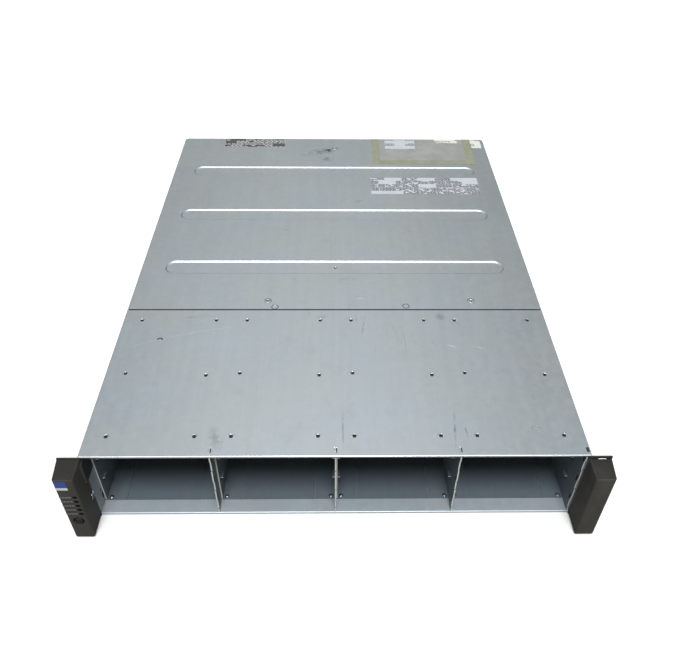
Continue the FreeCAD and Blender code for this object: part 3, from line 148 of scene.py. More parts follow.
class Paint:
    """A node tree under construction and the patterns that feed its shader."""

    def __init__(self, tree, coordinates="Object"):
        self.tree = tree
        self.place = self.node("TexCoord", output=coordinates)

    def node(self, kind, settings=None, inputs=None, output=0):
        """Adds a node: its settings first, then the values or links of its sockets."""
        made = self.tree.nodes.new("ShaderNode" + kind)
        for name, value in (settings or {}).items():
            setattr(made, name, value)
        for name, value in (inputs or {}).items():
            self.feed(made.inputs[name], value)
        return Value(self, made.outputs[output])

    def feed(self, socket, value):
        """Links a value to a socket, or sets the socket to a constant."""
        if isinstance(value, Value):
            self.tree.links.new(value.socket, socket)
        elif socket.type == "RGBA":
            socket.default_value = (*tuple(value)[:3], 1.0)
        else:
            socket.default_value = value

    def measure(self, operation, *vectors):
        """Length of a vector, or dot product of two."""
        return self.node("VectorMath", {"operation": operation}, dict(enumerate(vectors)), "Value")

    def along(self, axis, vector=None):
        """Share of a vector along an axis, or the place there in metres."""
        return self.node("SeparateXYZ", None, {0: vector or self.place}, axis)

    def laid(self, size, turn=0.0, at=ORIGIN):
        """The place in units of a patch size, turned about Z and centred on a point."""
        sockets = {
            "Vector": self.place,
            "Location": Vector(at) * MM,
            "Rotation": (0.0, 0.0, turn),
            "Scale": Vector(size) * MM,
        }
        return self.node("Mapping", {"vector_type": "TEXTURE"}, sockets)

    def cloud(self, size, detail=2.0, rough=0.5, turn=0.0):
        """Soft noise in patches of a given size along each axis."""
        size = size if isinstance(size, tuple) else (size,) * 3
        sockets = {"Vector": self.laid(size, turn), "Scale": 1.0, "Detail": detail, "Roughness": rough}
        return self.node("TexNoise", None, sockets)

    def cells(self, size):
        """Random level for each crystal of a mosaic."""
        sockets = {"Vector": self.place, "Scale": 1.0 / (size * MM)}
        return self.node("TexVoronoi", None, sockets, "Color")

    def bricks(self, size, gap):
        """Random level for each brick of a running bond, and 0 in the gaps, a share of the height."""
        sockets = {
            "Vector": self.laid((size[1],) * 3),
            "Color1": (0.0, 0.0, 0.0),
            "Color2": (1.0, 1.0, 1.0),
            "Mortar": (0.0, 0.0, 0.0),
            "Scale": 1.0,
            "Mortar Size": gap,
            "Mortar Smooth": 0.0,
            "Brick Width": size[0] / size[1],
            "Row Height": 1.0,
        }
        return self.node("TexBrick", {"offset": 0.37}, sockets, "Color")

    def step(self, value, low, high):
        """Smooth rise from 0 at low to 1 at high."""
        sockets = {"Value": value, "From Min": low, "From Max": high}
        return self.node("MapRange", {"interpolation_type": "SMOOTHSTEP"}, sockets)

    def beyond(self, axis, low, high):
        """Smooth rise from 0 at one place on an axis to 1 at another."""
        return self.step(self.along(axis), low * MM, high * MM)

    def near(self, axis, middle, outer, inner):
        """Level of 1 up to an inner distance from a place on an axis, and 0 past an outer one."""
        return self.step(abs(self.along(axis) - middle * MM), outer * MM, inner * MM)

    def scratches(self, length, width, turn, share):
        """Thin broken lines of about a length and width, drawn in one direction."""
        line = self.cloud((width * 14, length, THROUGH), 1.0, 0.5, turn)
        thin = self.step(abs(line - 0.5), 0.012, 0.002)
        patch = self.cloud((length * 0.5, length * 0.7, THROUGH), 2.0, 0.5, turn + 0.4)
        return thin * self.step(patch, 1.0 - share, 1.08 - share)

    def mark(self, at, size, turn=0.0, soft=0.5):
        """Level of 1 in the middle of an oval mark, fading to 0 at its rim."""
        oval = self.laid((size[0] / 2, size[1] / 2, THROUGH), turn, at)
        return self.step(self.measure("LENGTH", oval), 1.0, 1.0 - soft)

    def arc(self, at, radius, width, axis=2):
        """Thin ring about a point, in the plane across an axis."""
        size = [radius] * 3
        size[axis] = THROUGH
        ring = self.measure("LENGTH", self.laid(size, 0.0, at))
        return self.step(abs(ring - 1.0), width / radius, 0.0)

    def edges(self, radius):
        """Normal with eased edges, and the level of those edges."""
        soft = self.node("Bevel", {"samples": 4}, {"Radius": radius * MM})
        flat = self.node("NewGeometry", output="Normal")
        return soft, self.step(self.measure("DOT_PRODUCT", soft, flat), 0.99, 0.80)

    def turned_to(self, axis):
        """Level of 1 on faces that look along an axis, either way."""
        flat = self.node("NewGeometry", output="Normal")
        return self.step(abs(self.along(axis, flat)), 0.5, 0.95)

    def wall_highlights_and_slot_shade(self):
        """Levels of 1 at the bay walls' front edges and tabs, for a painted highlight, and in their latch
        slots, for painted shade.
        """
        right = self.beyond("Y", FRONT + 2.6, FRONT + 2.2)
        left = self.near("Y", FRONT + LEFT_WALL_SETBACK, 1.2, 0.8)
        tabs = self.near("Y", FRONT + TAB_COLUMNS[0], 4.6, 4.2)
        slots = self.near("Y", FRONT + LATCH_SLOT, 1.6, 1.3)
        above = self.beyond("Z", FOOT_TOP + 0.2, FOOT_TOP + 0.8)
        return (right + left + tabs) * above, slots * above

    def mix(self, share, first, second):
        return self.node("Mix", {"data_type": "RGBA"}, {0: share, 6: first, 7: second}, 2)

    def shaded(self, colour, level):
        """A colour made lighter or darker by a level."""
        return self.node("VectorMath", {"operation": "SCALE"}, {0: colour, "Scale": level})

    def bump(self, height, strength, distance, normal=None):
        sockets = {"Height": height, "Strength": strength, "Distance": distance * MM}
        if normal is not None:
            sockets["Normal"] = normal
        return self.node("Bump", None, sockets)


class Finish(Paint):
    """A named material with one principled shader."""

    def __init__(self, name):
        self.material = bpy.data.materials.new(name)
        self.material.use_nodes = True
        super().__init__(self.material.node_tree)
        self.shader = self.tree.nodes["Principled BSDF"]

    def shade(self, colour, rough, normal, **others):
        """Feeds the shader's sockets, the other ones named with underscores for spaces."""
        sockets = {"Base_Color": colour, "Roughness": rough, "Normal": normal, **others}
        for name, value in sockets.items():
            self.feed(self.shader.inputs[name.replace("_", " ")], value)
        return self.material


# Finishes of sheet and metal


def zinc_coat(paint, colour, wear, dull):
    """What the galvanised sheets share: colour, its level, roughness and normal."""
    spangle = paint.cells(5.5)
    drift = paint.cloud(95, 3.0)
    rolled = paint.cloud((0.9, 140, 0.9), 2.0)
    bands = paint.cloud((7, 260, 7), 3.0)
    grime = paint.step(paint.cloud(26, 6.0, 0.62), 0.54, 0.76)
    speck = paint.step(paint.cloud(1.9, 2.0), 0.72, 0.78)
    scuffs = paint.scratches(60, 0.25, 0.9, 0.40) + paint.scratches(45, 0.2, -0.35, 0.38)
    eased, edge = paint.edges(0.5)
    # The share along eased edges is a painted highlight; the rest is spangle, drift, rolling and bands.
    level = 0.88 + 0.05 * spangle + 0.06 * drift + 0.06 * rolled + 0.08 * bands + 0.22 * edge
    level = level - wear * (0.14 * grime + 0.25 * speck) + wear * 0.10 * scuffs
    rough = dull + 0.06 * drift + 0.05 * spangle + 0.04 * bands + wear * 0.14 * grime - 0.05 * edge
    cool = tuple(c * f for c, f in zip(colour, (0.965, 1.0, 1.03)))
    tint = paint.mix(paint.step(paint.cloud(70, 2.0), 0.38, 0.62), colour, cool)
    grain = 0.7 * rolled + 0.5 * spangle + wear * 0.6 * speck
    return tint, level, rough, paint.bump(grain, 0.10, 0.05, eased)


def galvanised(name, colour, wear, dull, bare, edge_highlight=None):
    """Zinc-coated sheet: wear, dullness, share of bare metal, and the colour of a painted highlight on the
    bay walls' front edges and tabs, whose latch slots also get painted shade.
    """
    paint = Finish(name)
    tint, level, rough, normal = zinc_coat(paint, colour, wear, dull)
    if edge_highlight:
        cut = paint.turned_to("Y")
        painted_highlight, painted_slot_shade = paint.wall_highlights_and_slot_shade()
        # Pale painted highlight on the walls' front edges and tabs, near-black painted shade in their
        # latch slots.
        tint = paint.mix(cut * painted_slot_shade, paint.mix(cut * painted_highlight, tint, edge_highlight), (0.012, 0.013, 0.014))
    return paint.shade(paint.shaded(tint, level), rough, normal, Metallic=bare)


def galvanised_cover():
    """The covers' sheet, with the handling marks that lie on them and a few painted glints."""
    dark_marks = [  # place, size, turn, depth
        ((-107.0, 20.0), (18.0, 36.0), 0.3, 0.9),
        ((6.0, 30.0), (3.0, 56.0), 0.0, 1.1),
        ((107.0, 29.0), (3.2, 60.0), -0.10, 1.6),
        ((117.0, 27.0), (2.8, 34.0), 0.08, 1.3),
        ((-214.0, 24.0), (8.0, 2.0), -0.4, 1.2),
        ((205.0, 180.0), (16.0, 12.0), 0.6, 0.5),
        ((13.0, 250.0), (28.0, 22.0), 0.0, 0.5),
        ((48.6, 308.1), (4.0, 4.0), 0.0, 1.0),
        ((-20.0, 559.0), (72.0, 27.0), 0.34, 1.6),
        ((-9.0, 563.0), (16.0, 14.0), 0.0, 1.8),
        ((-10.3, 538.5), (24.0, 22.0), 0.0, 1.7),
        ((-0.6, 590.0), (20.0, 8.0), -0.3, 0.8),
        ((-150.0, 186.0), (60.0, 9.0), 0.1, 0.5),
        ((30.0, 420.0), (30.0, 9.0), 0.5, 0.5),
        ((-60.0, 352.0), (24.0, 7.0), -0.3, 0.5),
        ((112.0, 186.0), (15.0, 16.0), 0.3, 1.0),
        ((127.0, 178.0), (2.6, 26.0), 0.62, 1.2),
        ((29.0, 170.0), (2.2, 56.0), -0.15, 1.0),
        ((22.0, 184.0), (2.0, 20.0), 0.05, 1.0),
        ((-14.0, 186.0), (22.0, 8.0), 0.0, 0.6),
    ]
    painted_glints = [  # place, size, turn of painted glints
        ((118.8, 140.3), (15.0, 1.6), -0.45),
        ((147.0, 138.0), (7.0, 1.6), -0.30),
        ((27.0, 217.1), (13.0, 1.5), 0.0),
    ]
    paint = Finish("galvanised_cover")
    tint, level, rough, normal = zinc_coat(paint, bpy.context.scene.array_finishes.sheet, 0.35, 0.30)
    dark = sum(depth * paint.mark(on_cover(*at), size, turn, 0.9) for at, size, turn, depth in dark_marks)
    dark = dark * paint.step(paint.cloud(6, 4.0, 0.6), 0.36, 0.62)
    # Short strokes made lighter in the colour: painted glints.
    painted_highlight = sum(paint.mark(on_cover(*at), size, turn, 0.8) for at, size, turn in painted_glints)
    sweep = paint.arc(on_cover(-23.0, -287.0), 465, 0.8)
    sweep = sweep * paint.mark(on_cover(-160.0, 154.0), (130, 50), 0.3, 0.4)
    glints = paint.scratches(26, 0.2, 1.25, 0.5) * paint.mark(on_cover(125.0, 145.0), (80, 50), 0.0, 0.6)
    drags = paint.scratches(70, 0.3, 0.06, 0.52) * paint.mark(on_cover(70.0, 150.0), (110, 90), 0.0, 0.8)
    level = level - 0.30 * dark - 0.20 * drags + 0.16 * sweep + 0.14 * glints + 0.5 * painted_highlight
    return paint.shade(paint.shaded(tint, level), rough + 0.10 * dark, normal, Metallic=1.0)


def galvanised_sheet():
    return galvanised("galvanised_sheet", bpy.context.scene.array_finishes.tub_sheet, 0.6, 0.36, 0.50)


def galvanised_inner():
    return galvanised("galvanised_inner", bpy.context.scene.array_finishes.inner_sheet, 0.45, 0.46, 0.60)


def bay_sheet():
    # The bay sheet is much darker than the other galvanised sheets: painted shade inside the bays. The
    # pale colour passed here is the painted highlight on the walls' front edges and tabs.
    colour = bpy.context.scene.array_finishes.bay_sheet
    return galvanised("bay_sheet", colour, 0.45, 0.48, 0.35, (0.72, 0.73, 0.69))


def bracket_sheet():
    """Galvanised bracket with its rack flange painted black, and its sheet darker than the tub's as
    painted shade.
    """
    paint = Finish("bracket_sheet")
    # The sheet colour is darker than the tub's: painted shade on the bracket's leg.
    tint, level, rough, normal = zinc_coat(paint, (0.33, 0.375, 0.40), 0.6, 0.40)
    painted = paint.beyond("Y", FRONT + 0.4, FRONT + 0.1)
    colour = paint.mix(painted, paint.shaded(tint, level), (0.024, 0.023, 0.021))
    return paint.shade(colour, rough, normal, Metallic=0.5 - 0.5 * painted)


def plated(name, colour, roughness, patch):
    """Bright plated or extruded metal with a drawn grain."""
    paint = Finish(name)
    drift = paint.cloud(patch, 3.0)
    drawn = paint.cloud((0.5, 20, 0.5), 2.0)
    eased, edge = paint.edges(0.25)
    # Eased edges are made lighter: a painted highlight.
    tint = paint.shaded(colour, 0.86 + 0.16 * drift + 0.08 * drawn + 0.15 * edge)
    return paint.shade(tint, roughness + 0.14 * drift, paint.bump(drawn, 0.10, 0.04, eased), Metallic=1.0)


def tinned_steel():
    return plated("tinned_steel", (0.66, 0.68, 0.69), 0.22, 9)


def zinc_screw():
    return plated("zinc_screw", (0.55, 0.57, 0.58), 0.24, 2)


def dark_screw():
    return plated("dark_screw", (0.20, 0.21, 0.22), 0.30, 2)


def heatsink_aluminium():
    return plated("heatsink_aluminium", (0.74, 0.75, 0.76), 0.30, 14)


def contact_gold():
    return plated("contact_gold", (0.83, 0.60, 0.24), 0.20, 3)


def handle_steel():
    """Black powder coat with an orange-peel skin."""
    paint = Finish("handle_steel")
    drift = paint.cloud(16, 3.0)
    eased, edge = paint.edges(0.5)
    bare = paint.step(edge * paint.cloud(3, 3.0), 0.42, 0.60)
    colour = paint.mix(bare, (0.020, 0.020, 0.021), (0.30, 0.30, 0.30))
    tint = paint.shaded(colour, 0.8 + 0.4 * drift)
    peel = paint.bump(paint.cloud(0.7, 1.0), 0.30, 0.10, eased)
    return paint.shade(tint, 0.38 + 0.10 * drift, peel, Metallic=0.8 * bare)


def pit_oxide():
    """Near-black finish that stands for the painted shade in slots, windows, gaps, wells, dents and the
    seam.
    """
    paint = Finish("pit_oxide")
    drift = paint.cloud(0.7, 3.0)
    tint = paint.shaded((0.020, 0.022, 0.024), 0.6 + 0.8 * drift)
    return paint.shade(tint, 0.7 + 0.2 * drift, paint.bump(drift, 0.2, 0.1))


# Finishes of plastic, board and lens


def moulded(name, colour, roughness, grain=0.45, wear=1.0, gloss=0.5, shaded_top=0.0, ring_at=None):
    """Moulded plastic: fine grain, rubbed edges, dust in patches, top faces darkened as painted shade, a
    printed ring.
    """
    paint = Finish(name)
    pores = paint.cloud(grain, 2.0)
    drift = paint.cloud(22, 4.0, 0.6)
    rubs = paint.scratches(18, 0.15, 0.7, 0.42)
    eased, edge = paint.edges(0.4)
    dust = paint.step(drift, 0.50, 0.78)
    level = 0.86 + 0.24 * drift + 0.10 * pores + wear * (0.45 * edge + 0.35 * rubs)
    # Top faces made darker: painted shade.
    if shaded_top:
        level = level * (1.0 - shaded_top * paint.turned_to("Z"))
    if ring_at:
        level = level * (1.0 - 0.85 * paint.arc(ring_at, 2.0, 1.0, 1))
    paler = tuple(c * 1.25 + 0.02 for c in colour)
    tint = paint.shaded(paint.mix(wear * 0.5 * dust, colour, paler), level)
    rough = roughness + 0.12 * drift - 0.08 * edge
    return paint.shade(tint, rough, paint.bump(pores, 0.22, 0.06, eased), Specular_IOR_Level=gloss)


def ear_plastic():
    return moulded("ear_plastic", bpy.context.scene.array_finishes.ear, 0.50, gloss=0.2, shaded_top=0.55)


def connector_plastic():
    return moulded("connector_plastic", (0.022, 0.022, 0.024), 0.42, 0.3, 0.4)


def button_plastic():
    colour = (0.037, 0.037, 0.034)
    return moulded("button_plastic", colour, 0.50, 0.3, 0.6, 0.05, ring_at=centre("power_button"))


def fan_plastic():
    return moulded("fan_plastic", (0.017, 0.017, 0.018), 0.46, 0.4, 0.4)


def rocker_plastic():
    return moulded("rocker_plastic", (0.012, 0.012, 0.013), 0.20, 0.6, 0.6)


def lever_plastic():
    return moulded("lever_plastic", bpy.context.scene.array_finishes.touch_point, 0.40, 0.4, 0.7)


def circuit_board():
    """Solder mask over copper, with a faint net of tracks and pads."""
    paint = Finish("circuit_board")
    sockets = {"Vector": paint.place, "Scale": 1.0 / (6 * MM), "Mortar Size": 0.03}
    tracks = paint.node("TexBrick", None, sockets, "Fac")
    drift = paint.cloud(14, 3.0)
    pads = paint.step(paint.cells(2.2), 0.86, 0.90)
    eased, edge = paint.edges(0.15)
    green = paint.mix(0.55 * tracks, (0.012, 0.060, 0.030), (0.030, 0.125, 0.062))
    tin = paint.mix(0.45 * pads, green, (0.42, 0.44, 0.42))
    # Eased edges are made lighter: a painted highlight.
    tint = paint.shaded(tin, 0.8 + 0.4 * drift + 0.2 * edge)
    return paint.shade(tint, 0.30 + 0.14 * drift, paint.bump(tracks + pads, 0.20, 0.05, eased))


def light_pipe():
    """Smoked indicator lens, unlit."""
    paint = Finish("light_pipe")
    drift = paint.cloud(1.6, 2.0)
    tint = paint.shaded((0.004, 0.004, 0.004), 0.7 + 0.6 * drift)
    ribs = paint.bump(paint.cloud((0.2, 4, 4), 0.0), 0.10, 0.03)
    return paint.shade(tint, 0.34 + 0.10 * drift, ribs, Specular_IOR_Level=0.02)


def lamp_lens():
    """Clear green indicator lens, unlit."""
    paint = Finish("lamp_lens")
    drift = paint.cloud(0.8, 2.0)
    tint = paint.mix(drift, (0.10, 0.24, 0.08), (0.26, 0.42, 0.20))
    return paint.shade(tint, 0.10 + 0.08 * drift, paint.bump(drift, 0.05, 0.05))


# Finishes of paper, film and print


def dashed_paper(name, sheet_colour, ink, word, block, share):
    """Blank label: paper with plain dashes in rectangular blocks, worn and a little soiled."""
    paint = Finish(name)
    dashes = paint.step(paint.bricks(word, 0.16), 0.14, 0.18)
    blocks = paint.step(paint.bricks(block, 0.06), 1.0 - share, 1.02 - share)
    fibre = paint.cloud(0.8, 3.0)
    soil = paint.cloud(14, 4.0, 0.6)
    printed = paint.mix(dashes * blocks, sheet_colour, ink)
    tint = paint.shaded(printed, 0.86 + 0.22 * soil + 0.06 * fibre)
    return paint.shade(tint, 0.46 + 0.2 * soil, paint.bump(fibre, 0.08, 0.04))


def form_paper():
    pale, ink = (0.43, 0.45, 0.485), (0.03, 0.03, 0.035)
    return dashed_paper("form_paper", pale, ink, (4.6, 2.3), (23, 9.2), 0.64)


def rating_paper():
    dark, ink = (0.06, 0.06, 0.065), (0.36, 0.36, 0.36)
    return dashed_paper("rating_paper", dark, ink, (6.4, 4.3), (21, 8.6), 0.80)


def seal_paper():
    cream, ink = (0.57, 0.57, 0.52), (0.14, 0.14, 0.14)
    return dashed_paper("seal_paper", cream, ink, (4.4, 2.8), (15, 8.4), 0.36)


def slip_paper():
    pale, ink = (0.42, 0.44, 0.475), (0.10, 0.10, 0.11)
    return dashed_paper("slip_paper", pale, ink, (4.4, 2.8), (15, 8.4), 0.36)


def tape_residue():
    """Old adhesive left in a frame: yellowed, dusty, uneven."""
    paint = Finish("tape_residue")
    drift = paint.cloud(16, 4.0, 0.6)
    lint = paint.cloud((1.2, 12, 1.2), 3.0)
    thin = paint.step(paint.cloud(7, 5.0, 0.65), 0.35, 0.7)
    colour = paint.mix(thin, (0.200, 0.210, 0.148), (0.245, 0.255, 0.190))
    tint = paint.shaded(colour, 0.84 + 0.18 * drift + 0.12 * lint)
    return paint.shade(tint, 0.52 + 0.2 * drift, paint.bump(lint, 0.15, 0.06))


def backing_film():
    """Paler film inside the adhesive frame."""
    paint = Finish("backing_film")
    drift = paint.cloud(24, 4.0, 0.6)
    lint = paint.cloud(1.6, 3.0)
    colour = paint.mix(paint.step(drift, 0.4, 0.65), (0.295, 0.305, 0.288), (0.335, 0.345, 0.337))
    tint = paint.shaded(colour, 0.92 + 0.10 * drift + 0.06 * lint)
    return paint.shade(tint, 0.42 + 0.2 * drift, paint.bump(lint, 0.06, 0.05), Metallic=0.35)


def inked(name, colour, roughness):
    """Flat print or vinyl with a slight mottle."""
    paint = Finish(name)
    drift = paint.cloud(2.4, 3.0)
    tint = paint.shaded(colour, 0.82 + 0.36 * drift)
    return paint.shade(tint, roughness + 0.12 * drift, paint.bump(drift, 0.06, 0.04))


def sticker_blue():
    return inked("sticker_blue", (0.018, 0.055, 0.30), 0.30)


def sticker_pale():
    return inked("sticker_pale", (0.62, 0.66, 0.60), 0.30)


def panel_print():
    return inked("panel_print", (0.22, 0.22, 0.20), 0.50)


def floor_paper():
    """Studio floor, which throws back less light than it shows."""
    stage = bpy.context.scene.array_stage
    paint = Finish("floor_paper")
    seen = paint.node("LightPath", output="Is Camera Ray")
    colour = paint.mix(seen, stage.floor_bounce, stage.floor)
    tint = paint.shaded(colour, 0.97 + 0.04 * paint.cloud(900, 3.0))
    return paint.shade(tint, 0.9, paint.bump(paint.cloud(2.5, 2.0), 0.02, 0.1))


FINISHES = {
    maker.__name__: maker
    for maker in (
        galvanised_cover, galvanised_sheet, galvanised_inner, bay_sheet, bracket_sheet,
        tinned_steel, zinc_screw, dark_screw, heatsink_aluminium, contact_gold, handle_steel, pit_oxide,
        ear_plastic, connector_plastic, button_plastic, fan_plastic, rocker_plastic, lever_plastic,
        circuit_board, light_pipe, lamp_lens, form_paper, rating_paper, seal_paper, slip_paper,
        tape_residue, backing_film, sticker_blue, sticker_pale, panel_print, floor_paper,
    )
}


def finish(name):
    """The material of a name, made the first time that it is asked for."""
    return bpy.data.materials.get(name) or FINISHES[name]()


# Shapes


def turned(form, profile, steps=24):
    """Adds a turned shape about Z from (radius, height) points that meet the axis or close a loop."""
    points = [form.verts.new((radius, 0.0, height)) for radius, height in profile]
    lines = [form.edges.new(pair) for pair in zip(points, points[1:])]
    whole = {"cent": ORIGIN, "axis": (0.0, 0.0, 1.0), "angle": 2 * math.pi, "use_merge": True}
    bmesh.ops.spin(form, geom=points + lines, steps=steps, **whole)
    bmesh.ops.remove_doubles(form, verts=form.verts, dist=MERGE)


def lathe(steps, *profile):
    """A turned shape that is yet to be placed."""
    return partial(turned, profile=profile, steps=steps)


def eased(form, geom, offset, segments, affect):
    """Rounds edges or corners."""
    bmesh.ops.bevel(
        form, geom=geom, offset=offset, segments=segments, profile=0.5, affect=affect, material=-1
    )


def slab(form, size, at=ORIGIN, ease=0.0):
    """Adds a block about a centre, with its edges eased."""
    place = Matrix.LocRotScale(Vector(at), None, Vector(size))
    made = bmesh.ops.create_cube(form, size=1.0, matrix=place)
    if ease:
        edges = {edge for vert in made["verts"] for edge in vert.link_edges}
        eased(form, list(edges), ease, 2, "EDGES")


def block(*size, ease=0.0):
    """A slab that is yet to be placed."""
    return partial(slab, size=size, ease=ease)


def rectangle(form, size):
    """Adds a flat rectangle on Z = 0 and gives its corners."""
    place = Matrix.Diagonal((*size, 1.0, 1.0))
    return bmesh.ops.create_grid(form, x_segments=1, y_segments=1, size=0.5, matrix=place)["verts"]


def thicken(form, thickness):
    """Turns flat faces on Z = 0 into a closed sheet of a thickness."""
    made = bmesh.ops.extrude_face_region(form, geom=form.faces[:], use_keep_orig=True)
    risen = [item for item in made["geom"] if isinstance(item, bmesh.types.BMVert)]
    bmesh.ops.translate(form, vec=(0.0, 0.0, thickness), verts=risen)


def sheet(form, size, corner, thickness):
    """Adds a flat sheet on Z = 0 with round corners and a thickness upwards."""
    corners = rectangle(form, size)
    if corner:
        eased(form, corners, corner, 4, "VERTICES")
    thicken(form, thickness)


def prism(form, outline, height):
    """Adds an upright bar on Z = 0 with an outline."""
    form.faces.new([form.verts.new((x, y, 0.0)) for x, y in outline])
    thicken(form, height)


def cut_across(form, y, **cleared):
    """Cuts a shape through at a place on Y and clears one side."""
    whole = form.verts[:] + form.edges[:] + form.faces[:]
    plane = {"plane_co": (0.0, y, 0.0), "plane_no": (0.0, 1.0, 0.0)}
    bmesh.ops.bisect_plane(form, geom=whole, dist=MERGE, **plane, **cleared)


def half_ring(form, profile, steps=32):
    """Adds the far half of a turned ring from a closed loop of (radius, height) points."""
    turned(form, profile, steps)
    cut_across(form, 0.0, clear_inner=True)
    bmesh.ops.holes_fill(form, edges=[edge for edge in form.edges if edge.is_boundary])


def sheet_frame(form, size, border, corner, thickness, end):
    """Adds a flat frame with an open middle, cut off at a place on Y."""
    corners = rectangle(form, size)
    middle = form.faces[:]
    bmesh.ops.inset_region(form, faces=middle, thickness=border, use_boundary=True, use_even_offset=True)
    bmesh.ops.delete(form, geom=middle, context="FACES_ONLY")
    eased(form, corners, corner, 3, "VERTICES")
    cut_across(form, end, clear_outer=True)
    thicken(form, thickness)


def cross_screw(form, radius, height):
    """Adds a pan-head screw on Z = 0 with a cross recess."""
    inner = 0.16 * radius
    rim = 0.62 * radius
    shoulder = (radius, 0.45 * height), (0.86 * radius, 0.82 * height)
    top = (rim, height), (inner, height), (0.0, height)
    turned(form, [(0.0, 0.0), (radius, 0.0), *shoulder, *top])
    arms = []
    for face in form.faces:
        middle = face.calc_center_median()
        reach = math.hypot(middle.x, middle.y)
        along = abs(math.sin(2 * math.atan2(middle.y, middle.x)))
        if middle.z > 0.97 * height and reach < rim and (along < 0.35 or reach < inner):
            arms.append(face)
    made = bmesh.ops.extrude_face_region(form, geom=arms)
    sunk = [item for item in made["geom"] if isinstance(item, bmesh.types.BMVert)]
    bmesh.ops.delete(form, geom=[face for face in arms if face.is_valid], context="FACES_ONLY")
    bmesh.ops.translate(form, vec=(0.0, 0.0, -0.55 * height), verts=sunk)


def places(points, look=None):
    """Places that keep a shape's Z upward, or turn it to a direction."""
    turn = Vector(look).to_track_quat("Z", "Y").to_matrix().to_4x4() if look else Matrix.Identity(4)
    return [Matrix.Translation(Vector(point)) @ turn for point in points]


def meshed(name, form):
    """Ends the construction of a shape with a mesh."""
    mesh = bpy.data.meshes.new(name)
    form.to_mesh(mesh)
    form.free()
    return mesh


def add_object(name, data):
    """Adds an object to the scene."""
    made = bpy.data.objects.new(name, data)
    bpy.context.scene.collection.objects.link(made)
    return made


def repeat(form, shape, spots):
    """Adds a shape at each place."""
    single = bmesh.new()
    shape(single)
    bmesh.ops.recalc_face_normals(single, faces=single.faces)
    pattern = meshed("pattern", single)
    for spot in spots:
        known = set(form.verts)
        form.from_mesh(pattern)
        bmesh.ops.transform(form, matrix=spot, verts=[vert for vert in form.verts if vert not in known])
    bpy.data.meshes.remove(pattern)


def set_piece(name, shape, points, body, finish_name, look=None):
    """Makes an object of a shape at each point, in metres, and has it ride on a body."""
    form = bmesh.new()
    repeat(form, shape, places(points, look))
    bmesh.ops.scale(form, vec=(MM, MM, MM), verts=form.verts)
    mesh = meshed(name, form)
    mesh.shade_smooth()
    mesh.set_sharp_from_angle(angle=SHARP)
    mesh.materials.append(finish(finish_name))
    piece = add_object(name, mesh)
    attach(piece, body)
    return piece


def set_pieces(body, rows, look=None):
    """Makes pieces of one body from rows of name, shape, points and finish."""
    for name, shape, points, finish_name in rows:
        set_piece(name, shape, points, body, finish_name, look)


# Settings


def colour_setting(name, description, default):
    return FloatVectorProperty(
        name=name, description=description, subtype="COLOR", min=0.0, max=1.0, default=default
    )


def length_setting(name, description, default, low=0.0, high=1000.0):
    """A length whose default and limits are given in millimetres."""
    limits = {"min": low * MM, "max": high * MM}
    return FloatProperty(
        name=name, description=description, unit="LENGTH", default=default * MM, **limits
    )


def angle_setting(name, description, default):
    return FloatProperty(name=name, description=description, subtype="ANGLE", default=default)


class ArrayFinishes(bpy.types.PropertyGroup):
    """Colours of the array's main finishes."""

    sheet: colour_setting("Sheet", "Reflected colour of the galvanised covers", (0.57, 0.605, 0.625))
    tub_sheet: colour_setting("Tub sheet", "Reflected colour of the tub", (0.47, 0.52, 0.56))
    # The bay sheet's dark colour is painted shade inside the bays.
    bay_sheet: colour_setting(
        "Bay sheet", "Reflected colour of the bay walls and floors", (0.122, 0.152, 0.176)
    )
    inner_sheet: colour_setting(
        "Inner sheet", "Reflected colour of the partitions, trays and supply cases", (0.46, 0.51, 0.55)
    )
    ear: colour_setting("Ear", "Colour of the moulded ear covers", (0.046, 0.0435, 0.038))
    touch_point: colour_setting("Touch point", "Colour of the levers and latches", (0.045, 0.075, 0.135))


class ArrayFittings(bpy.types.PropertyGroup):
    """Sizes of the array's small fittings."""

    pit_radius: length_setting(
        "Clinch pit radius", "Outer radius of the lip round a clinched joint", 2.8, 2.4, 4.0
    )
    rivet_radius: length_setting("Rivet radius", "Radius of a floor rivet's flange", 2.2, 1.0, 5.0)
    screw_radius: length_setting("Screw radius", "Radius of a cover screw's head", 1.25, 1.0, 5.0)
    label_thickness: length_setting("Label thickness", "Thickness of a label", 0.12, 0.05, 0.5)
    contact_count: IntProperty(
        name="Contacts", description="Contacts in each row of a drive connector", min=2, max=40, default=22
    )


class ArrayStage(bpy.types.PropertyGroup):
    """Camera, floor and light."""

    camera_place: FloatVectorProperty(
        name="Camera",
        description="Place of the camera",
        subtype="TRANSLATION",
        default=(-0.0033807, -0.6758548, 0.5691639),
    )
    camera_pitch: angle_setting("Pitch", "Angle that the camera looks down by", 0.72728)
    camera_yaw: angle_setting("Yaw", "Turn of the camera about the upright axis", -0.02331)
    camera_roll: angle_setting("Roll", "Turn of the camera about its line of sight", 0.0150)
    lens: FloatProperty(
        name="Lens", description="Focal length in millimetres", min=10.0, max=200.0, default=36.2023
    )
    floor: colour_setting("Floor", "Colour of the floor", (0.90, 0.90, 0.90))
    floor_bounce: colour_setting(
        "Floor bounce", "Colour of the light that the floor throws back at the array", (0.30, 0.30, 0.30)
    )
    panel_strength: FloatProperty(
        name="Overhead panel",
        description="Strength of the wide overhead panel in watts per square metre",
        min=0.0,
        default=3.0,
    )
    panel_spread: angle_setting("Panel spread", "Angle that the overhead panel spans", math.radians(20))
    surround: FloatProperty(
        name="Surround", description="Strength of the surround", min=0.0, default=1.0
    )


# Operators


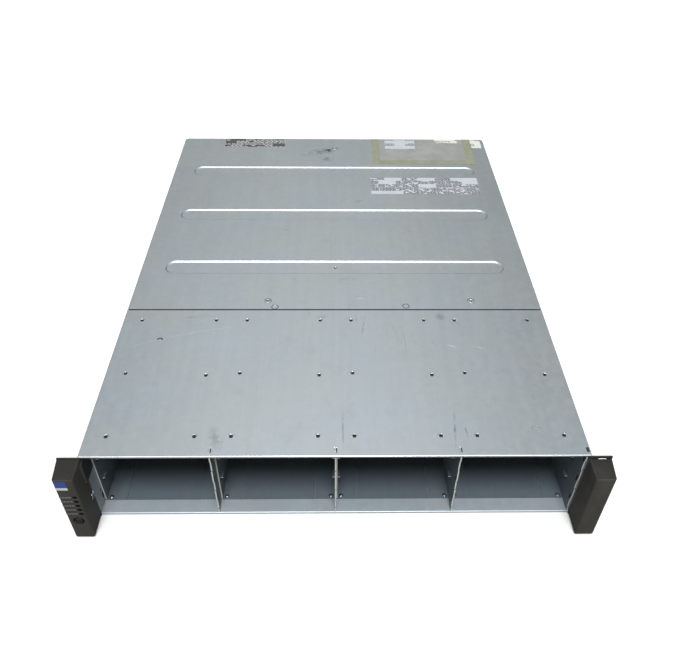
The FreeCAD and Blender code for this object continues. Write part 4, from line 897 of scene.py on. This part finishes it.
class ARRAY_OT_dress_solids(bpy.types.Operator):
    """Gives every solid of the array its finish"""

    bl_idname = "array.dress_solids"
    bl_label = "Dress Solids"

    def execute(self, context):
        walls = [f"bay_{n + 1}_{side}_wall" for n in range(len(BAYS)) for side in SIDES]
        own = {
            **dict.fromkeys(("front_top_cover", "rear_top_cover"), "galvanised_cover"),
            **dict.fromkeys(walls, "bay_sheet"),
            **dict.fromkeys(("left_rack_bracket", "right_rack_bracket"), "bracket_sheet"),
        }
        rows = frame["record"]["subparts"]
        for row in rows:
            frame["nodes"][row["node"]].data.materials.clear()
        for plain in [material for material in bpy.data.materials if not material.users]:
            bpy.data.materials.remove(plain)
        for row in rows:
            name = own.get(row["node"], row["material_slot"])
            frame["nodes"][row["node"]].data.materials.append(finish(name))
        return {"FINISHED"}


class ARRAY_OT_clinch_pits(bpy.types.Operator):
    """Adds the clinched joints' wells, near-black as painted shade, and lips on the front cover, and their
    pits on the bay floors
    """

    bl_idname = "array.clinch_pits"
    bl_label = "Clinch Pits"

    inset: length_setting("Inset", "From a bay's edge", 16.3)
    front_row: length_setting("Front row", "From the front", 22.7)
    left_row: length_setting("Left middle row", "From the front", 101.6)
    right_row: length_setting("Right middle row", "From the front", 98.8)
    rear_row: length_setting("Rear row", "From the cage's end", 9.7)

    def execute(self, context):
        rim = context.scene.array_fittings.pit_radius / MM
        outside = (0.0, -1.14), (1.46, -1.14), (1.46, 0.0), (1.90, 0.0)
        inside = (1.85, 0.05), (1.36, 0.05), (1.24, -0.95), (0.0, -1.0)
        lip = [(1.7, 0.0), (rim, 0.0), (rim - 0.5, 0.42), (rim - 0.62, 0.42), (1.7, 0.06), (1.7, 0.0)]
        pit = (0.0, 0.0), (2.3, 0.0), (2.25, 0.16), (1.9, 0.26), (1.5, 0.22), (1.2, 0.05), (0.0, 0.03)
        cover, floor = [], []
        for left, right in BAYS:
            for edge, side, middle in ((left, 1, self.left_row), (right, -1, self.right_row)):
                x = edge + side * self.inset / MM
                rows = (FRONT + self.front_row / MM, FRONT + middle / MM, CAGE_END - self.rear_row / MM)
                cover += [(x, y, TOP) for y in rows]
                floor += [(x, y, FOOT_TOP) for y in rows[1:]]
        # The wells are near-black painted shade in the cover's holes.
        joints = (
            ("cover_clinch_well_shades", lathe(20, *outside, *inside), cover, "pit_oxide"),
            ("cover_clinch_lips", partial(half_ring, profile=lip, steps=24), cover, "galvanised_cover"),
            ("floor_clinch_pits", lathe(16, *pit), floor, "bay_sheet"),
        )
        set_pieces("chassis", joints)
        return {"FINISHED"}


class ARRAY_OT_cover_marks(bpy.types.Operator):
    """Adds the dent, ring marks, tooling hole and seam of the covers, with near-black painted shade in the
    dent, the rings by the seam, the hole and the seam
    """

    bl_idname = "array.cover_marks"
    bl_label = "Cover Marks"

    def execute(self, context):
        dent = [(1.5, 0.0), (3.1, 0.0), (3.0, 0.06), (1.7, 0.06), (1.5, 0.0)]
        ring = lathe(32, (3.1, 0.0), (3.9, 0.0), (3.8, 0.04), (3.2, 0.04), (3.1, 0.0))
        dot = lathe(20, (0.0, 0.0), (1.5, 0.0), (1.3, 0.3), (0.8, 0.45), (0.0, 0.5))
        collar = (2.3, 0.0), (2.2, 0.12), (1.75, 0.10), (1.42, -0.2), (1.42, -0.9)
        rim = lathe(28, (1.62, -0.9), *collar, (1.62, -0.9))
        depth = lathe(28, (0.0, -0.9), (1.41, -0.9), (1.41, -0.15), (1.3, -0.1), (1.2, -0.7), (0.0, -0.75))
        seam_ring_shades = [on_cover(-65.7, 202.6), on_cover(76.7, 204.1)]
        hole = [(0.0, SEAM + 77.0, TOP - BEAD_DEPTH)]
        # The dent, the rings by the seam and the hole's depth are near-black painted shade.
        marks = (
            ("cover_dent_shade", partial(half_ring, profile=dent), [on_cover(-180.2, 150.1)], "pit_oxide"),
            ("cover_ring_mark", ring, [on_cover(181.2, 31.4)], "galvanised_inner"),
            ("seam_ring_shades", ring, seam_ring_shades, "pit_oxide"),
            ("seam_dot", dot, [on_cover(-66.2, 206.2)], "zinc_screw"),
            ("bead_hole_rim", rim, hole, "zinc_screw"),
            ("bead_hole_shade", depth, hole, "pit_oxide"),
        )
        set_pieces("chassis", marks)
        # The strip in the seam between the covers is painted shade.
        gap = REAR_COVER_LOW.y - COVER_HIGH.y
        shade_strip = block(COVER_HIGH.x - COVER_LOW.x - 3.0, gap + 0.8, 0.10, ease=0.03)
        set_piece("seam_shade_strip", shade_strip, [(0.0, SEAM, TOP + 0.03)], "chassis", "pit_oxide")
        return {"FINISHED"}


class ARRAY_OT_bay_linings(bpy.types.Operator):
    """Adds the bays' floor sheets, near-black painted shade in the slots and windows of their walls, under
    their tabs and beside their hooks, and plates in the hook slots
    """

    bl_idname = "array.bay_linings"
    bl_label = "Bay Linings"

    def execute(self, context):
        # Sheets over the bay floors carry the bay sheet's painted shade.
        set_piece("bay_floor_shade_sheets", self.floors, [ORIGIN], "chassis", "bay_sheet")
        slots, windows, hooks, slits, gaps = [], [], [], [], []
        for left, right in BAYS:
            slots += [(right - 0.15, FRONT + LATCH_SLOT, z) for z in LATCH_SLOT_ROWS]
            hooks.append((right - 0.6, FRONT + 7.5, TOP - 0.25))
            slits.append((right + 0.1, FRONT + 6.6, TOP - 0.02))
            for edge, inward in ((left, 1), (right, -1)):
                for y, z in [(FRONT + column, row) for column in TAB_COLUMNS for row in TAB_WINDOW_ROWS]:
                    windows.append((edge + inward * 0.15, y, z))
                    gaps.append((edge + inward * FLOOR_SHEET, y, z - 2.8))
        x, y, z = slits.pop()  # the last one is wider, at the cover's corner
        # The near-black sheets in the latch slots and tab windows, under the tabs and beside the hooks are
        # painted shade; the hook slot plates are cover sheet.
        shades_and_backs = (
            ("latch_slot_shades", block(0.2, 2.3, 8.3), slots, "pit_oxide"),
            ("tab_window_shades", block(0.2, 6.9, 2.9), windows, "pit_oxide"),
            ("hook_slot_backs", block(2.5, 4.3, 0.3), hooks, "galvanised_cover"),
            ("tab_window_gap_shades", block(0.1, 5.0, 2.6), gaps, "pit_oxide"),
            ("hook_slit_shades", block(1.0, 5.0, 0.1), slits, "pit_oxide"),
            ("corner_hook_slit_shade", block(2.6, 5.2, 0.1), [(x + 0.6, y, z)], "pit_oxide"),
        )
        set_pieces("chassis", shades_and_backs)
        return {"FINISHED"}

    def floors(self, form):
        near, far = FRONT + 15.1, CAGE_END - 1.0
        for left, right in BAYS:
            size = (right - left - 2 * FOOT_WIDTH - 0.6, far - near)
            middle = ((left + right) / 2, (near + far) / 2, FLOOR_SHEET)
            repeat(form, partial(sheet, size=size, corner=0.0, thickness=0.2), places([middle]))


class ARRAY_OT_screws(bpy.types.Operator):
    """Adds the cross-recess screws of the covers, sides and supplies, and the floor rivets"""

    bl_idname = "array.screws"
    bl_label = "Screws and Rivets"

    def execute(self, context):
        fittings = context.scene.array_fittings
        self.cover_screws(fittings.screw_radius / MM)
        self.side_screws()
        self.rivets(fittings.rivet_radius / MM)
        self.fan_screws()
        return {"FINISHED"}

    def cover_screws(self, radius):
        """Sunk heads in dished seats, which stand for the plain ones of the solids."""
        points = [(-74.0, SEAM + 15.2, TOP), (149.0, SEAM + 15.2, TOP), (0.0, REAR - 30.6, TOP)]
        sunk = 0.3 * (box("cover_screws")[1].z - TOP)
        head = partial(cross_screw, radius=radius, height=sunk)
        heads = set_piece("cover_screw_heads", head, points, "chassis", "dark_screw")
        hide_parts("cover_screws")
        hole = radius + 0.1
        dish = [(4.2, 0.0), (3.6, 0.05), (2.75, 0.40), (2.5, 0.44), (2.25, 0.38)]
        seat = lathe(36, (hole, 0.0), *dish, (hole, 0.03), (hole, 0.0))
        set_piece("cover_screw_seats", seat, points, "chassis", "galvanised_cover")

    def side_screws(self):
        rows = [(y, z) for y in (9.0, 22.0) for z in (18.0, 68.0)]
        rows += [(y, z) for y in (212.0, 578.0) for z in (14.0, 72.0)]
        screw = partial(cross_screw, radius=3.2, height=0.9)
        for name, sign in (("left_side_screws", -1), ("right_side_screws", 1)):
            points = [(sign * REAR_COVER_HIGH.x, FRONT + y, z) for y, z in rows]
            set_piece(name, screw, points, "chassis", "zinc_screw", (sign, 0, 0))

    def rivets(self, rim):
        flange = (0.0, 0.0), (rim, 0.0), (rim, 0.18), (rim - 0.4, 0.28)
        rivet = lathe(20, *flange, (1.4, 0.22), (1.25, 0.45), (0.85, 0.70), (0.0, 0.80))
        points = [(x, FRONT + 18.6, FOOT_TOP) for left, right in BAYS for x in (left + 4.8, right - 4.8)]
        set_piece("floor_rivets", rivet, points, "chassis", "zinc_screw")

    def fan_screws(self):
        inset = 4.2
        screw = partial(cross_screw, radius=3.0, height=1.6)
        for side in SIDES:
            low, high = box(f"{side}_psu_fan_frame")
            rows = (low.z + inset, high.z - inset)
            corners = [(x, REAR, z) for x in (low.x + inset, high.x - inset) for z in rows]
            name = f"{side}_psu_fan_screws"
            set_piece(name, screw, corners, f"{side}_psu", "zinc_screw", TO_REAR)


class ARRAY_OT_labels(bpy.types.Operator):
    """Adds the blank labels, seals and adhesive frame on the rear cover"""

    bl_idname = "array.labels"
    bl_label = "Labels"

    def execute(self, context):
        thickness = context.scene.array_fittings.label_thickness / MM
        lifted = 0.08
        labels = (  # name, finish, (left, right, near, far), corner, lift
            ("rear_left_label", "rating_paper", (-163.0, -74.0, 573.0, 599.0), 1.0, 0.0),
            ("rear_right_label", "form_paper", (49.0, 197.0, 439.6, 482.8), 1.4, 0.0),
            ("adhesive_film", "backing_film", (65.7, 192.0, 533.1, 599.3), 0.6, 0.0),
            ("rear_edge_seal", "seal_paper", (150.3, 184.3, 587.0, 599.4), 0.8, lifted),
            ("corner_seal", "seal_paper", (204.0, 219.0, 572.0, 597.0), 0.8, 0.0),
            ("inner_slip", "slip_paper", (75.0, 119.6, 567.5, 597.0), 0.8, lifted),
        )
        for name, paper, (left, right, near, far), corner, lift in labels:
            patch = partial(sheet, size=(right - left, far - near), corner=corner, thickness=thickness)
            middle = on_cover((left + right) / 2, (near + far) / 2, lift)
            set_piece(name, patch, [middle], "chassis", paper)
        tape = partial(
            sheet_frame, size=(148.3, 108.0), border=11.0, corner=1.2, thickness=thickness, end=23.5
        )
        set_piece("adhesive_frame", tape, [on_cover(128.8, 576.0)], "chassis", "tape_residue")
        return {"FINISHED"}


class ARRAY_OT_ear_details(bpy.types.Operator):
    """Adds the left ear's plain sticker, lamp ticks, button ring with painted shade in its groove, spring
    clip, a dark plate over the left bracket leg's top, and painted shade for a slot in that leg
    """

    bl_idname = "array.ear_details"
    bl_label = "Ear Details"

    def execute(self, context):
        ear_low, ear_high = box("left_ear_cover")
        self.face_details(ear_low.y)
        clip_at = [(ear_high.x + 0.7, ear_low.y + 21.0, 36.0)]
        set_piece("ear_spring_clip", self.clip, clip_at, "left_ear", "tinned_steel")
        # A near-black patch on the left bracket's leg: painted shade of a slot.
        leg_at = [(box("left_rack_bracket")[0].x + 20.1, FRONT + 14.2, 12.4)]
        set_piece("left_leg_slot_shade", self.leg_slot, leg_at, "chassis", "pit_oxide")
        # A dark plate over the top of the left bracket's leg.
        outline = [(0.0, 0.0), (1.5, 1.4), (1.5, 19.0), (1.0, 20.4), (0.5, 20.0), (0.5, 3.6), (0.0, 3.6)]
        tongue = partial(prism, outline=outline, height=25.0)
        tongue_at = [(ear_high.x - 0.05, FRONT - 6.0, 57.4)]
        set_piece("left_ear_dark_plate", tongue, tongue_at, "left_ear", "connector_plastic")
        return {"FINISHED"}

    def face_details(self, face):
        """Sticker, lamps and button surround on the ear's face."""
        button = centre("power_button")
        sunk = [(button.x, face + 0.7, button.z)]
        column = centre("status_lights").x
        top_row = box("status_lights")[1].z - LAMP_HEIGHT / 2
        rows = [top_row - n * LAMP_PITCH for n in range(5)]
        ring = lathe(40, (4.5, 0.0), (5.05, 0.0), (5.0, 0.25), (4.8, 0.34), (4.6, 0.22), (4.5, 0.0))
        groove = lathe(40, (3.5, 0.0), (4.5, 0.0), (4.45, 0.10), (3.55, 0.10), (3.5, 0.0))
        field = partial(sheet, size=(10.0, 8.4), corner=0.8, thickness=0.12)
        band = partial(sheet, size=(10.0, 3.2), corner=0.6, thickness=0.12)
        # The button groove's near-black ring is painted shade.
        pieces = (
            ("ear_sticker_field", field, [(-233.0, face, 80.6)], "sticker_blue"),
            ("ear_sticker_band", band, [(-233.0, face, 74.6)], "sticker_pale"),
            ("lamp_ticks", self.tick, [(column - 8.2, face, z) for z in rows], "panel_print"),
            ("lamp_lenses", self.lens, [(column + 0.3, face, z) for z in rows], "light_pipe"),
            ("button_ring", ring, sunk, "button_plastic"),
            ("button_groove_shade", groove, sunk, "light_pipe"),
        )
        set_pieces("left_ear", pieces, look=TO_FRONT)

    def tick(self, form):
        dash = partial(sheet, size=(2.3, 1.0), corner=0.2, thickness=0.05)
        repeat(form, dash, places([(x, 0.0, 0.0) for x in (-4.2, -1.4, 1.4, 4.2)]))

    def lens(self, form):
        turned(form, [(0.0, -0.2), (1.45, -0.2), (1.5, 0.0), (1.45, 0.10), (1.1, 0.20), (0.0, 0.25)])
        bmesh.ops.scale(form, vec=(1.45, 1.0, 1.0), verts=form.verts)

    def clip(self, form):
        slab(form, (0.8, 1.4, 2.0), (-0.4, 0.0, 0.0), 0.15)
        turns = [Matrix.Rotation(turn, 4, "X") for turn in (-0.85, 0.55)]
        repeat(form, block(0.5, 1.3, 7.5, ease=0.15), turns)

    def leg_slot(self, form):
        # Near-black patch that paints the shade of a slot.
        slab(form, (0.12, 3.0, 9.0), ORIGIN, 0.05)
        slab(form, (0.12, 1.6, 3.4), (0.0, -1.2, 9.4), 0.05)


class ARRAY_OT_contacts(bpy.types.Operator):
    """Adds the contacts in the drive connectors and the tongues in the controllers' ports"""

    bl_idname = "array.contacts"
    bl_label = "Contacts"

    def execute(self, context):
        self.drive_contacts(context.scene.array_fittings.contact_count)
        for level in LEVELS:
            low, high = box(f"{level}_canister_ports")
            jacks = [(x, high.y, low.z + 6.5) for x in (-46.0, -24.0)]
            sockets = [(x, high.y, low.z + 5.5) for x in (8.0, 40.0)]
            pieces = (
                ("jack_inserts", self.jack, jacks, "connector_plastic", "connector_plastic"),
                ("jack_wires", self.jack_wires, jacks, "contact_gold", None),
                ("socket_tongues", self.tongue, sockets, "connector_plastic", "connector_plastic"),
                ("socket_pads", self.tongue_pads, sockets, "contact_gold", None),
            )
            for name, shape, points, paint, slot in pieces:
                set_piece(f"{level}_{name}", shape, points, f"{level}_canister", paint)
        return {"FINISHED"}

    def drive_contacts(self, count):
        span, row_inset = 34.0, 4.0
        low, high = box("drive_connectors")

        def contact_row(form):
            for n in range(count):
                for z in (-0.95, 0.95):
                    slab(form, (0.8, 5.2, 0.5), ((n / (count - 1) - 0.5) * span, 2.9, z))

        rows = (low.z + row_inset, (low.z + high.z) / 2, high.z - row_inset)
        points = [((left + right) / 2, low.y, z) for left, right in BAYS for z in rows]
        set_piece("drive_contacts", contact_row, points, "chassis", "contact_gold")

    def jack(self, form):
        slab(form, (11.4, 10.0, 2.4), (0.0, -10.4, 4.0), 0.3)
        slab(form, (3.6, 12.0, 1.2), (0.0, -9.4, -4.7), 0.3)

    def jack_wires(self, form):
        for n in range(8):
            slab(form, (0.45, 9.0, 0.45), ((n - 3.5) * 1.1, -9.6, 2.5))

    def tongue(self, form):
        slab(form, (20.0, 12.0, 1.8), (0.0, -10.6, 0.0), 0.3)
        slab(form, (22.4, 2.0, 8.4), (0.0, -15.6, 0.0), 0.3)

    def tongue_pads(self, form):
        for n in range(17):
            for z in (-0.98, 0.98):
                slab(form, (0.6, 7.0, 0.2), ((n - 8) * 1.1, -8.6, z))


class ARRAY_OT_board_parts(bpy.types.Operator):
    """Adds the small parts soldered to the controllers' boards"""

    bl_idname = "array.board_parts"
    bl_label = "Board Parts"

    def execute(self, context):
        cans = [(-99, y) for y in range(132, 244, 14)] + [(99, y) for y in range(82, 180, 14)]
        cans += [(x, 172) for x in range(-58, -18, 13)] + [(x, -50) for x in range(-40, 60, 20)]
        coils = [(-80, y) for y in (228, 242, 256)] + [(74, y) for y in (56, 72)] + [(-34, 34), (34, 34)]
        base = (0.0, 0.0), (3.2, 0.0), (3.2, 0.8), (2.9, 1.1), (3.2, 1.4)
        can = lathe(20, *base, (3.2, 8.2), (2.9, 8.6), (2.4, 8.4), (0.0, 8.4))
        for level in LEVELS:
            low, high = box(f"{level}_canister_heatsink")
            middle = centre(f"{level}_canister_heatsink")
            reach = high.x - low.x
            chips = partial(self.chips, middle=middle.y, reach=reach)
            faces = [middle.y - reach + side * 2.8 for side in (-1, 1)]
            ranks = [(n * 12.6, y, middle.z) for n in range(-4, 5) for y in faces]
            can_points, coil_points = ([(x, y, low.z) for x, y in spots] for spots in (cans, coils))
            plastic = "connector_plastic"
            pieces = (
                ("board_chips", chips, [(0.0, 0.0, low.z)], plastic, plastic),
                ("board_cans", can, can_points, "tinned_steel", "tinned_steel"),
                ("board_coils", self.coil, coil_points, "fan_plastic", plastic),
                ("memory_chips", block(9.0, 0.9, 11.0, ease=0.2), ranks, plastic, plastic),
            )
            for name, shape, points, paint, slot in pieces:
                set_piece(f"{level}_{name}", shape, points, f"{level}_canister", paint)
        return {"FINISHED"}

    def chips(self, form, middle, reach):
        """Chips over the board, and dark covers over the two largest."""
        chips = (  # x, y, width, length
            (-70, 196, 18, 18), (62, 204, 26, 26), (18, 196, 12, 8), (-24, 204, 10, 10),
            (-88, 62, 14, 20), (88, 30, 16, 12), (-60, 4, 22, 22), (50, -8, 16, 16),
            (0, 8, 10, 24), (-32, 250, 14, 14), (34, 250, 14, 14), (90, 250, 10, 16),
            (-94, -40, 12, 8), (92, -44, 8, 12), (30, 166, 8, 6), (-8, 232, 6, 8),
        )
        for x, y, width, length in chips:
            slab(form, (width, length, 1.8), (x, y, 0.85), 0.25)
        for x in (-reach, reach):
            slab(form, (31.4, 31.4, 3.4), (x, middle, 1.65), 0.3)

    def coil(self, form):
        slab(form, (9.0, 9.0, 5.0), (0.0, 0.0, 2.5), 0.9)
        slab(form, (10.4, 2.4, 0.8), (0.0, 0.0, 0.4), 0.2)


class ARRAY_OT_rear_details(bpy.types.Operator):
    """Adds the rear lamps, fan hub caps and the grip ribs of levers and latches"""

    bl_idname = "array.rear_details"
    bl_label = "Rear Details"

    def execute(self, context):
        dome = (1.7, 0.0), (1.7, 0.3), (1.35, 0.4), (1.2, 0.9), (0.7, 1.25)
        lamp = lathe(24, (0.0, 0.0), *dome, (0.0, 1.35))
        dished = (10.6, 0.0), (10.6, 0.25), (10.0, 0.6), (4.0, 0.75), (3.4, 0.35)
        cap = lathe(40, (0.0, 0.0), *dished, (0.0, 0.35))
        for side in SIDES:
            psu = f"{side}_psu"
            rotor = f"{psu}_fan_rotor"
            hub = [(centre(rotor).x, box(rotor)[1].y, centre(rotor).z)]
            set_piece(f"{psu}_hub_cap", cap, hub, f"{psu}_fan", "fan_plastic", TO_REAR)
            inlet = box(f"{psu}_inlet")[0]
            lamps = [(inlet.x + x, REAR, inlet.z - 4.4) for x in (8.0, 14.0)]
            set_piece(f"{psu}_lamps", lamp, lamps, psu, "lamp_lens", TO_REAR)
        for level in LEVELS:
            canister = f"{level}_canister"
            height = box(f"{canister}_ports")[0].z + 3.0
            lamps = [(x, REAR, height) for x in (-60.0, -66.0, 60.0)]
            set_piece(f"{canister}_lamps", lamp, lamps, canister, "lamp_lens", TO_REAR)
        self.grips()
        return {"FINISHED"}

    def grips(self):
        """Ribs near the free end of each lever and latch."""
        swing = {"left": 1, "right": -1}
        levers = [(f"{level}_canister_{side}_lever", swing[side]) for level in LEVELS for side in SIDES]
        levers += [(f"{side}_psu_latch", -1) for side in SIDES]
        for name, reach in levers:
            low, high = box(name)
            tip = high.x if reach > 0 else low.x
            at = (tip - reach * 8.0, REAR + LEVER_FACE, centre(name).z)
            set_piece(f"{name}_ribs", self.ribs, [at], name, "lever_plastic")

    def ribs(self, form):
        for x in (-2.2, 0.0, 2.2):
            slab(form, (0.9, 0.7, 7.2), (x, 0.0, 0.0), 0.25)


class ARRAY_OT_stage(bpy.types.Operator):
    """Adds the floor, the light and the camera"""

    bl_idname = "array.stage"
    bl_label = "Stage"

    def execute(self, context):
        settings = context.scene.array_stage
        self.add_floor()
        self.add_light(settings)
        self.add_surround(context, settings)
        context.scene.camera = self.add_camera(settings)
        context.scene.view_settings.view_transform = "Standard"
        return {"FINISHED"}

    def add_floor(self):
        """Wide floor, just under the array."""
        form = bmesh.new()
        bmesh.ops.create_grid(form, x_segments=1, y_segments=1, size=30.0)
        bmesh.ops.translate(form, vec=(0.0, 0.0, -0.2 * MM), verts=form.verts)
        mesh = meshed("studio_floor", form)
        mesh.materials.append(finish("floor_paper"))
        add_object("studio_floor", mesh)

    def add_light(self, settings):
        """Wide panel overhead, a little in front of the array."""
        light = bpy.data.lights.new("overhead_panel", "SUN")
        light.energy = settings.panel_strength
        light.angle = settings.panel_spread
        panel = add_object("overhead_panel", light)
        panel.rotation_euler = Vector((0.0, 0.44, -1.0)).to_track_quat("-Z", "Y").to_euler()

    def add_surround(self, context, settings):
        """Pale surround: brighter high up behind the array and to its sides, dimmer in front of it."""
        world = bpy.data.worlds.new("surround")
        world.use_nodes = True
        context.scene.world = world
        paint = Paint(world.node_tree, "Generated")
        x, y, z = (paint.along(axis) for axis in "XYZ")
        behind = (0.03 + 1.28 * z) * (1.0 - 0.62 * paint.step(abs(x + 0.03), 0.06, 0.44))
        behind = behind * (0.86 + 0.14 * paint.step(z, 0.42, 0.58))
        sides = paint.step(abs(x), 0.50, 0.72)
        behind = behind + 0.66 * sides
        ahead = 0.28 + 0.40 * paint.step(z, 0.55, 0.95) + 0.26 * sides
        share = paint.step(y, -0.2, 0.25)
        level = behind * share + ahead * (1.0 - share)
        seen = paint.node("LightPath", output="Is Camera Ray")
        colour = paint.mix(paint.step(z, 0.40, 0.75), (0.985, 1.0, 0.95), (0.955, 0.985, 1.0))
        background = world.node_tree.nodes["Background"]
        glow = paint.mix(seen, paint.shaded(colour, level), (1.0, 1.0, 1.0))
        paint.feed(background.inputs["Color"], glow)
        paint.feed(background.inputs["Strength"], settings.surround)

    def add_camera(self, settings):
        yaw = Matrix.Rotation(settings.camera_yaw, 4, "Z")
        pitch = Matrix.Rotation(math.pi / 2 - settings.camera_pitch, 4, "X")
        roll = Matrix.Rotation(settings.camera_roll, 4, "Z")
        data = bpy.data.cameras.new("camera")
        data.sensor_fit = "HORIZONTAL"
        data.sensor_width = 36.0
        data.lens = settings.lens
        data.clip_start = 0.01
        data.clip_end = 200.0
        camera = add_object("camera", data)
        camera.matrix_world = Matrix.Translation(settings.camera_place) @ yaw @ pitch @ roll
        return camera


class ARRAY_PT_panel(bpy.types.Panel):
    """Lists the array's settings and the operators that build it"""

    bl_idname = "ARRAY_PT_panel"
    bl_label = "Storage Array"
    bl_space_type = "VIEW_3D"
    bl_region_type = "UI"
    bl_category = "Array"

    def draw(self, context):
        for operator in OPERATORS:
            self.layout.operator(operator.bl_idname)
        for group in SETTINGS:
            settings = getattr(context.scene, group)
            rows = self.layout.box()
            for name in settings.bl_rna.properties.keys():
                if name not in ("rna_type", "name"):
                    rows.prop(settings, name)


SETTINGS = {"array_finishes": ArrayFinishes, "array_fittings": ArrayFittings, "array_stage": ArrayStage}
OPERATORS = (
    ARRAY_OT_dress_solids,
    ARRAY_OT_clinch_pits,
    ARRAY_OT_cover_marks,
    ARRAY_OT_bay_linings,
    ARRAY_OT_screws,
    ARRAY_OT_labels,
    ARRAY_OT_ear_details,
    ARRAY_OT_contacts,
    ARRAY_OT_board_parts,
    ARRAY_OT_rear_details,
    ARRAY_OT_stage,
)


def register():
    for name, group in SETTINGS.items():
        bpy.utils.register_class(group)
        setattr(bpy.types.Scene, name, PointerProperty(type=group))
    for operator in OPERATORS:
        bpy.utils.register_class(operator)
    bpy.utils.register_class(ARRAY_PT_panel)


def unregister():
    bpy.utils.unregister_class(ARRAY_PT_panel)
    for operator in reversed(OPERATORS):
        bpy.utils.unregister_class(operator)
    for name, group in SETTINGS.items():
        delattr(bpy.types.Scene, name)
        bpy.utils.unregister_class(group)


def main():
    register()
    bpy.ops.array.dress_solids()
    bpy.ops.array.clinch_pits()
    bpy.ops.array.cover_marks()
    bpy.ops.array.bay_linings()
    bpy.ops.array.screws()
    bpy.ops.array.labels()
    bpy.ops.array.ear_details()
    bpy.ops.array.contacts()
    bpy.ops.array.board_parts()
    bpy.ops.array.rear_details()
    bpy.ops.array.stage()


if __name__ == "__main__":
    main()
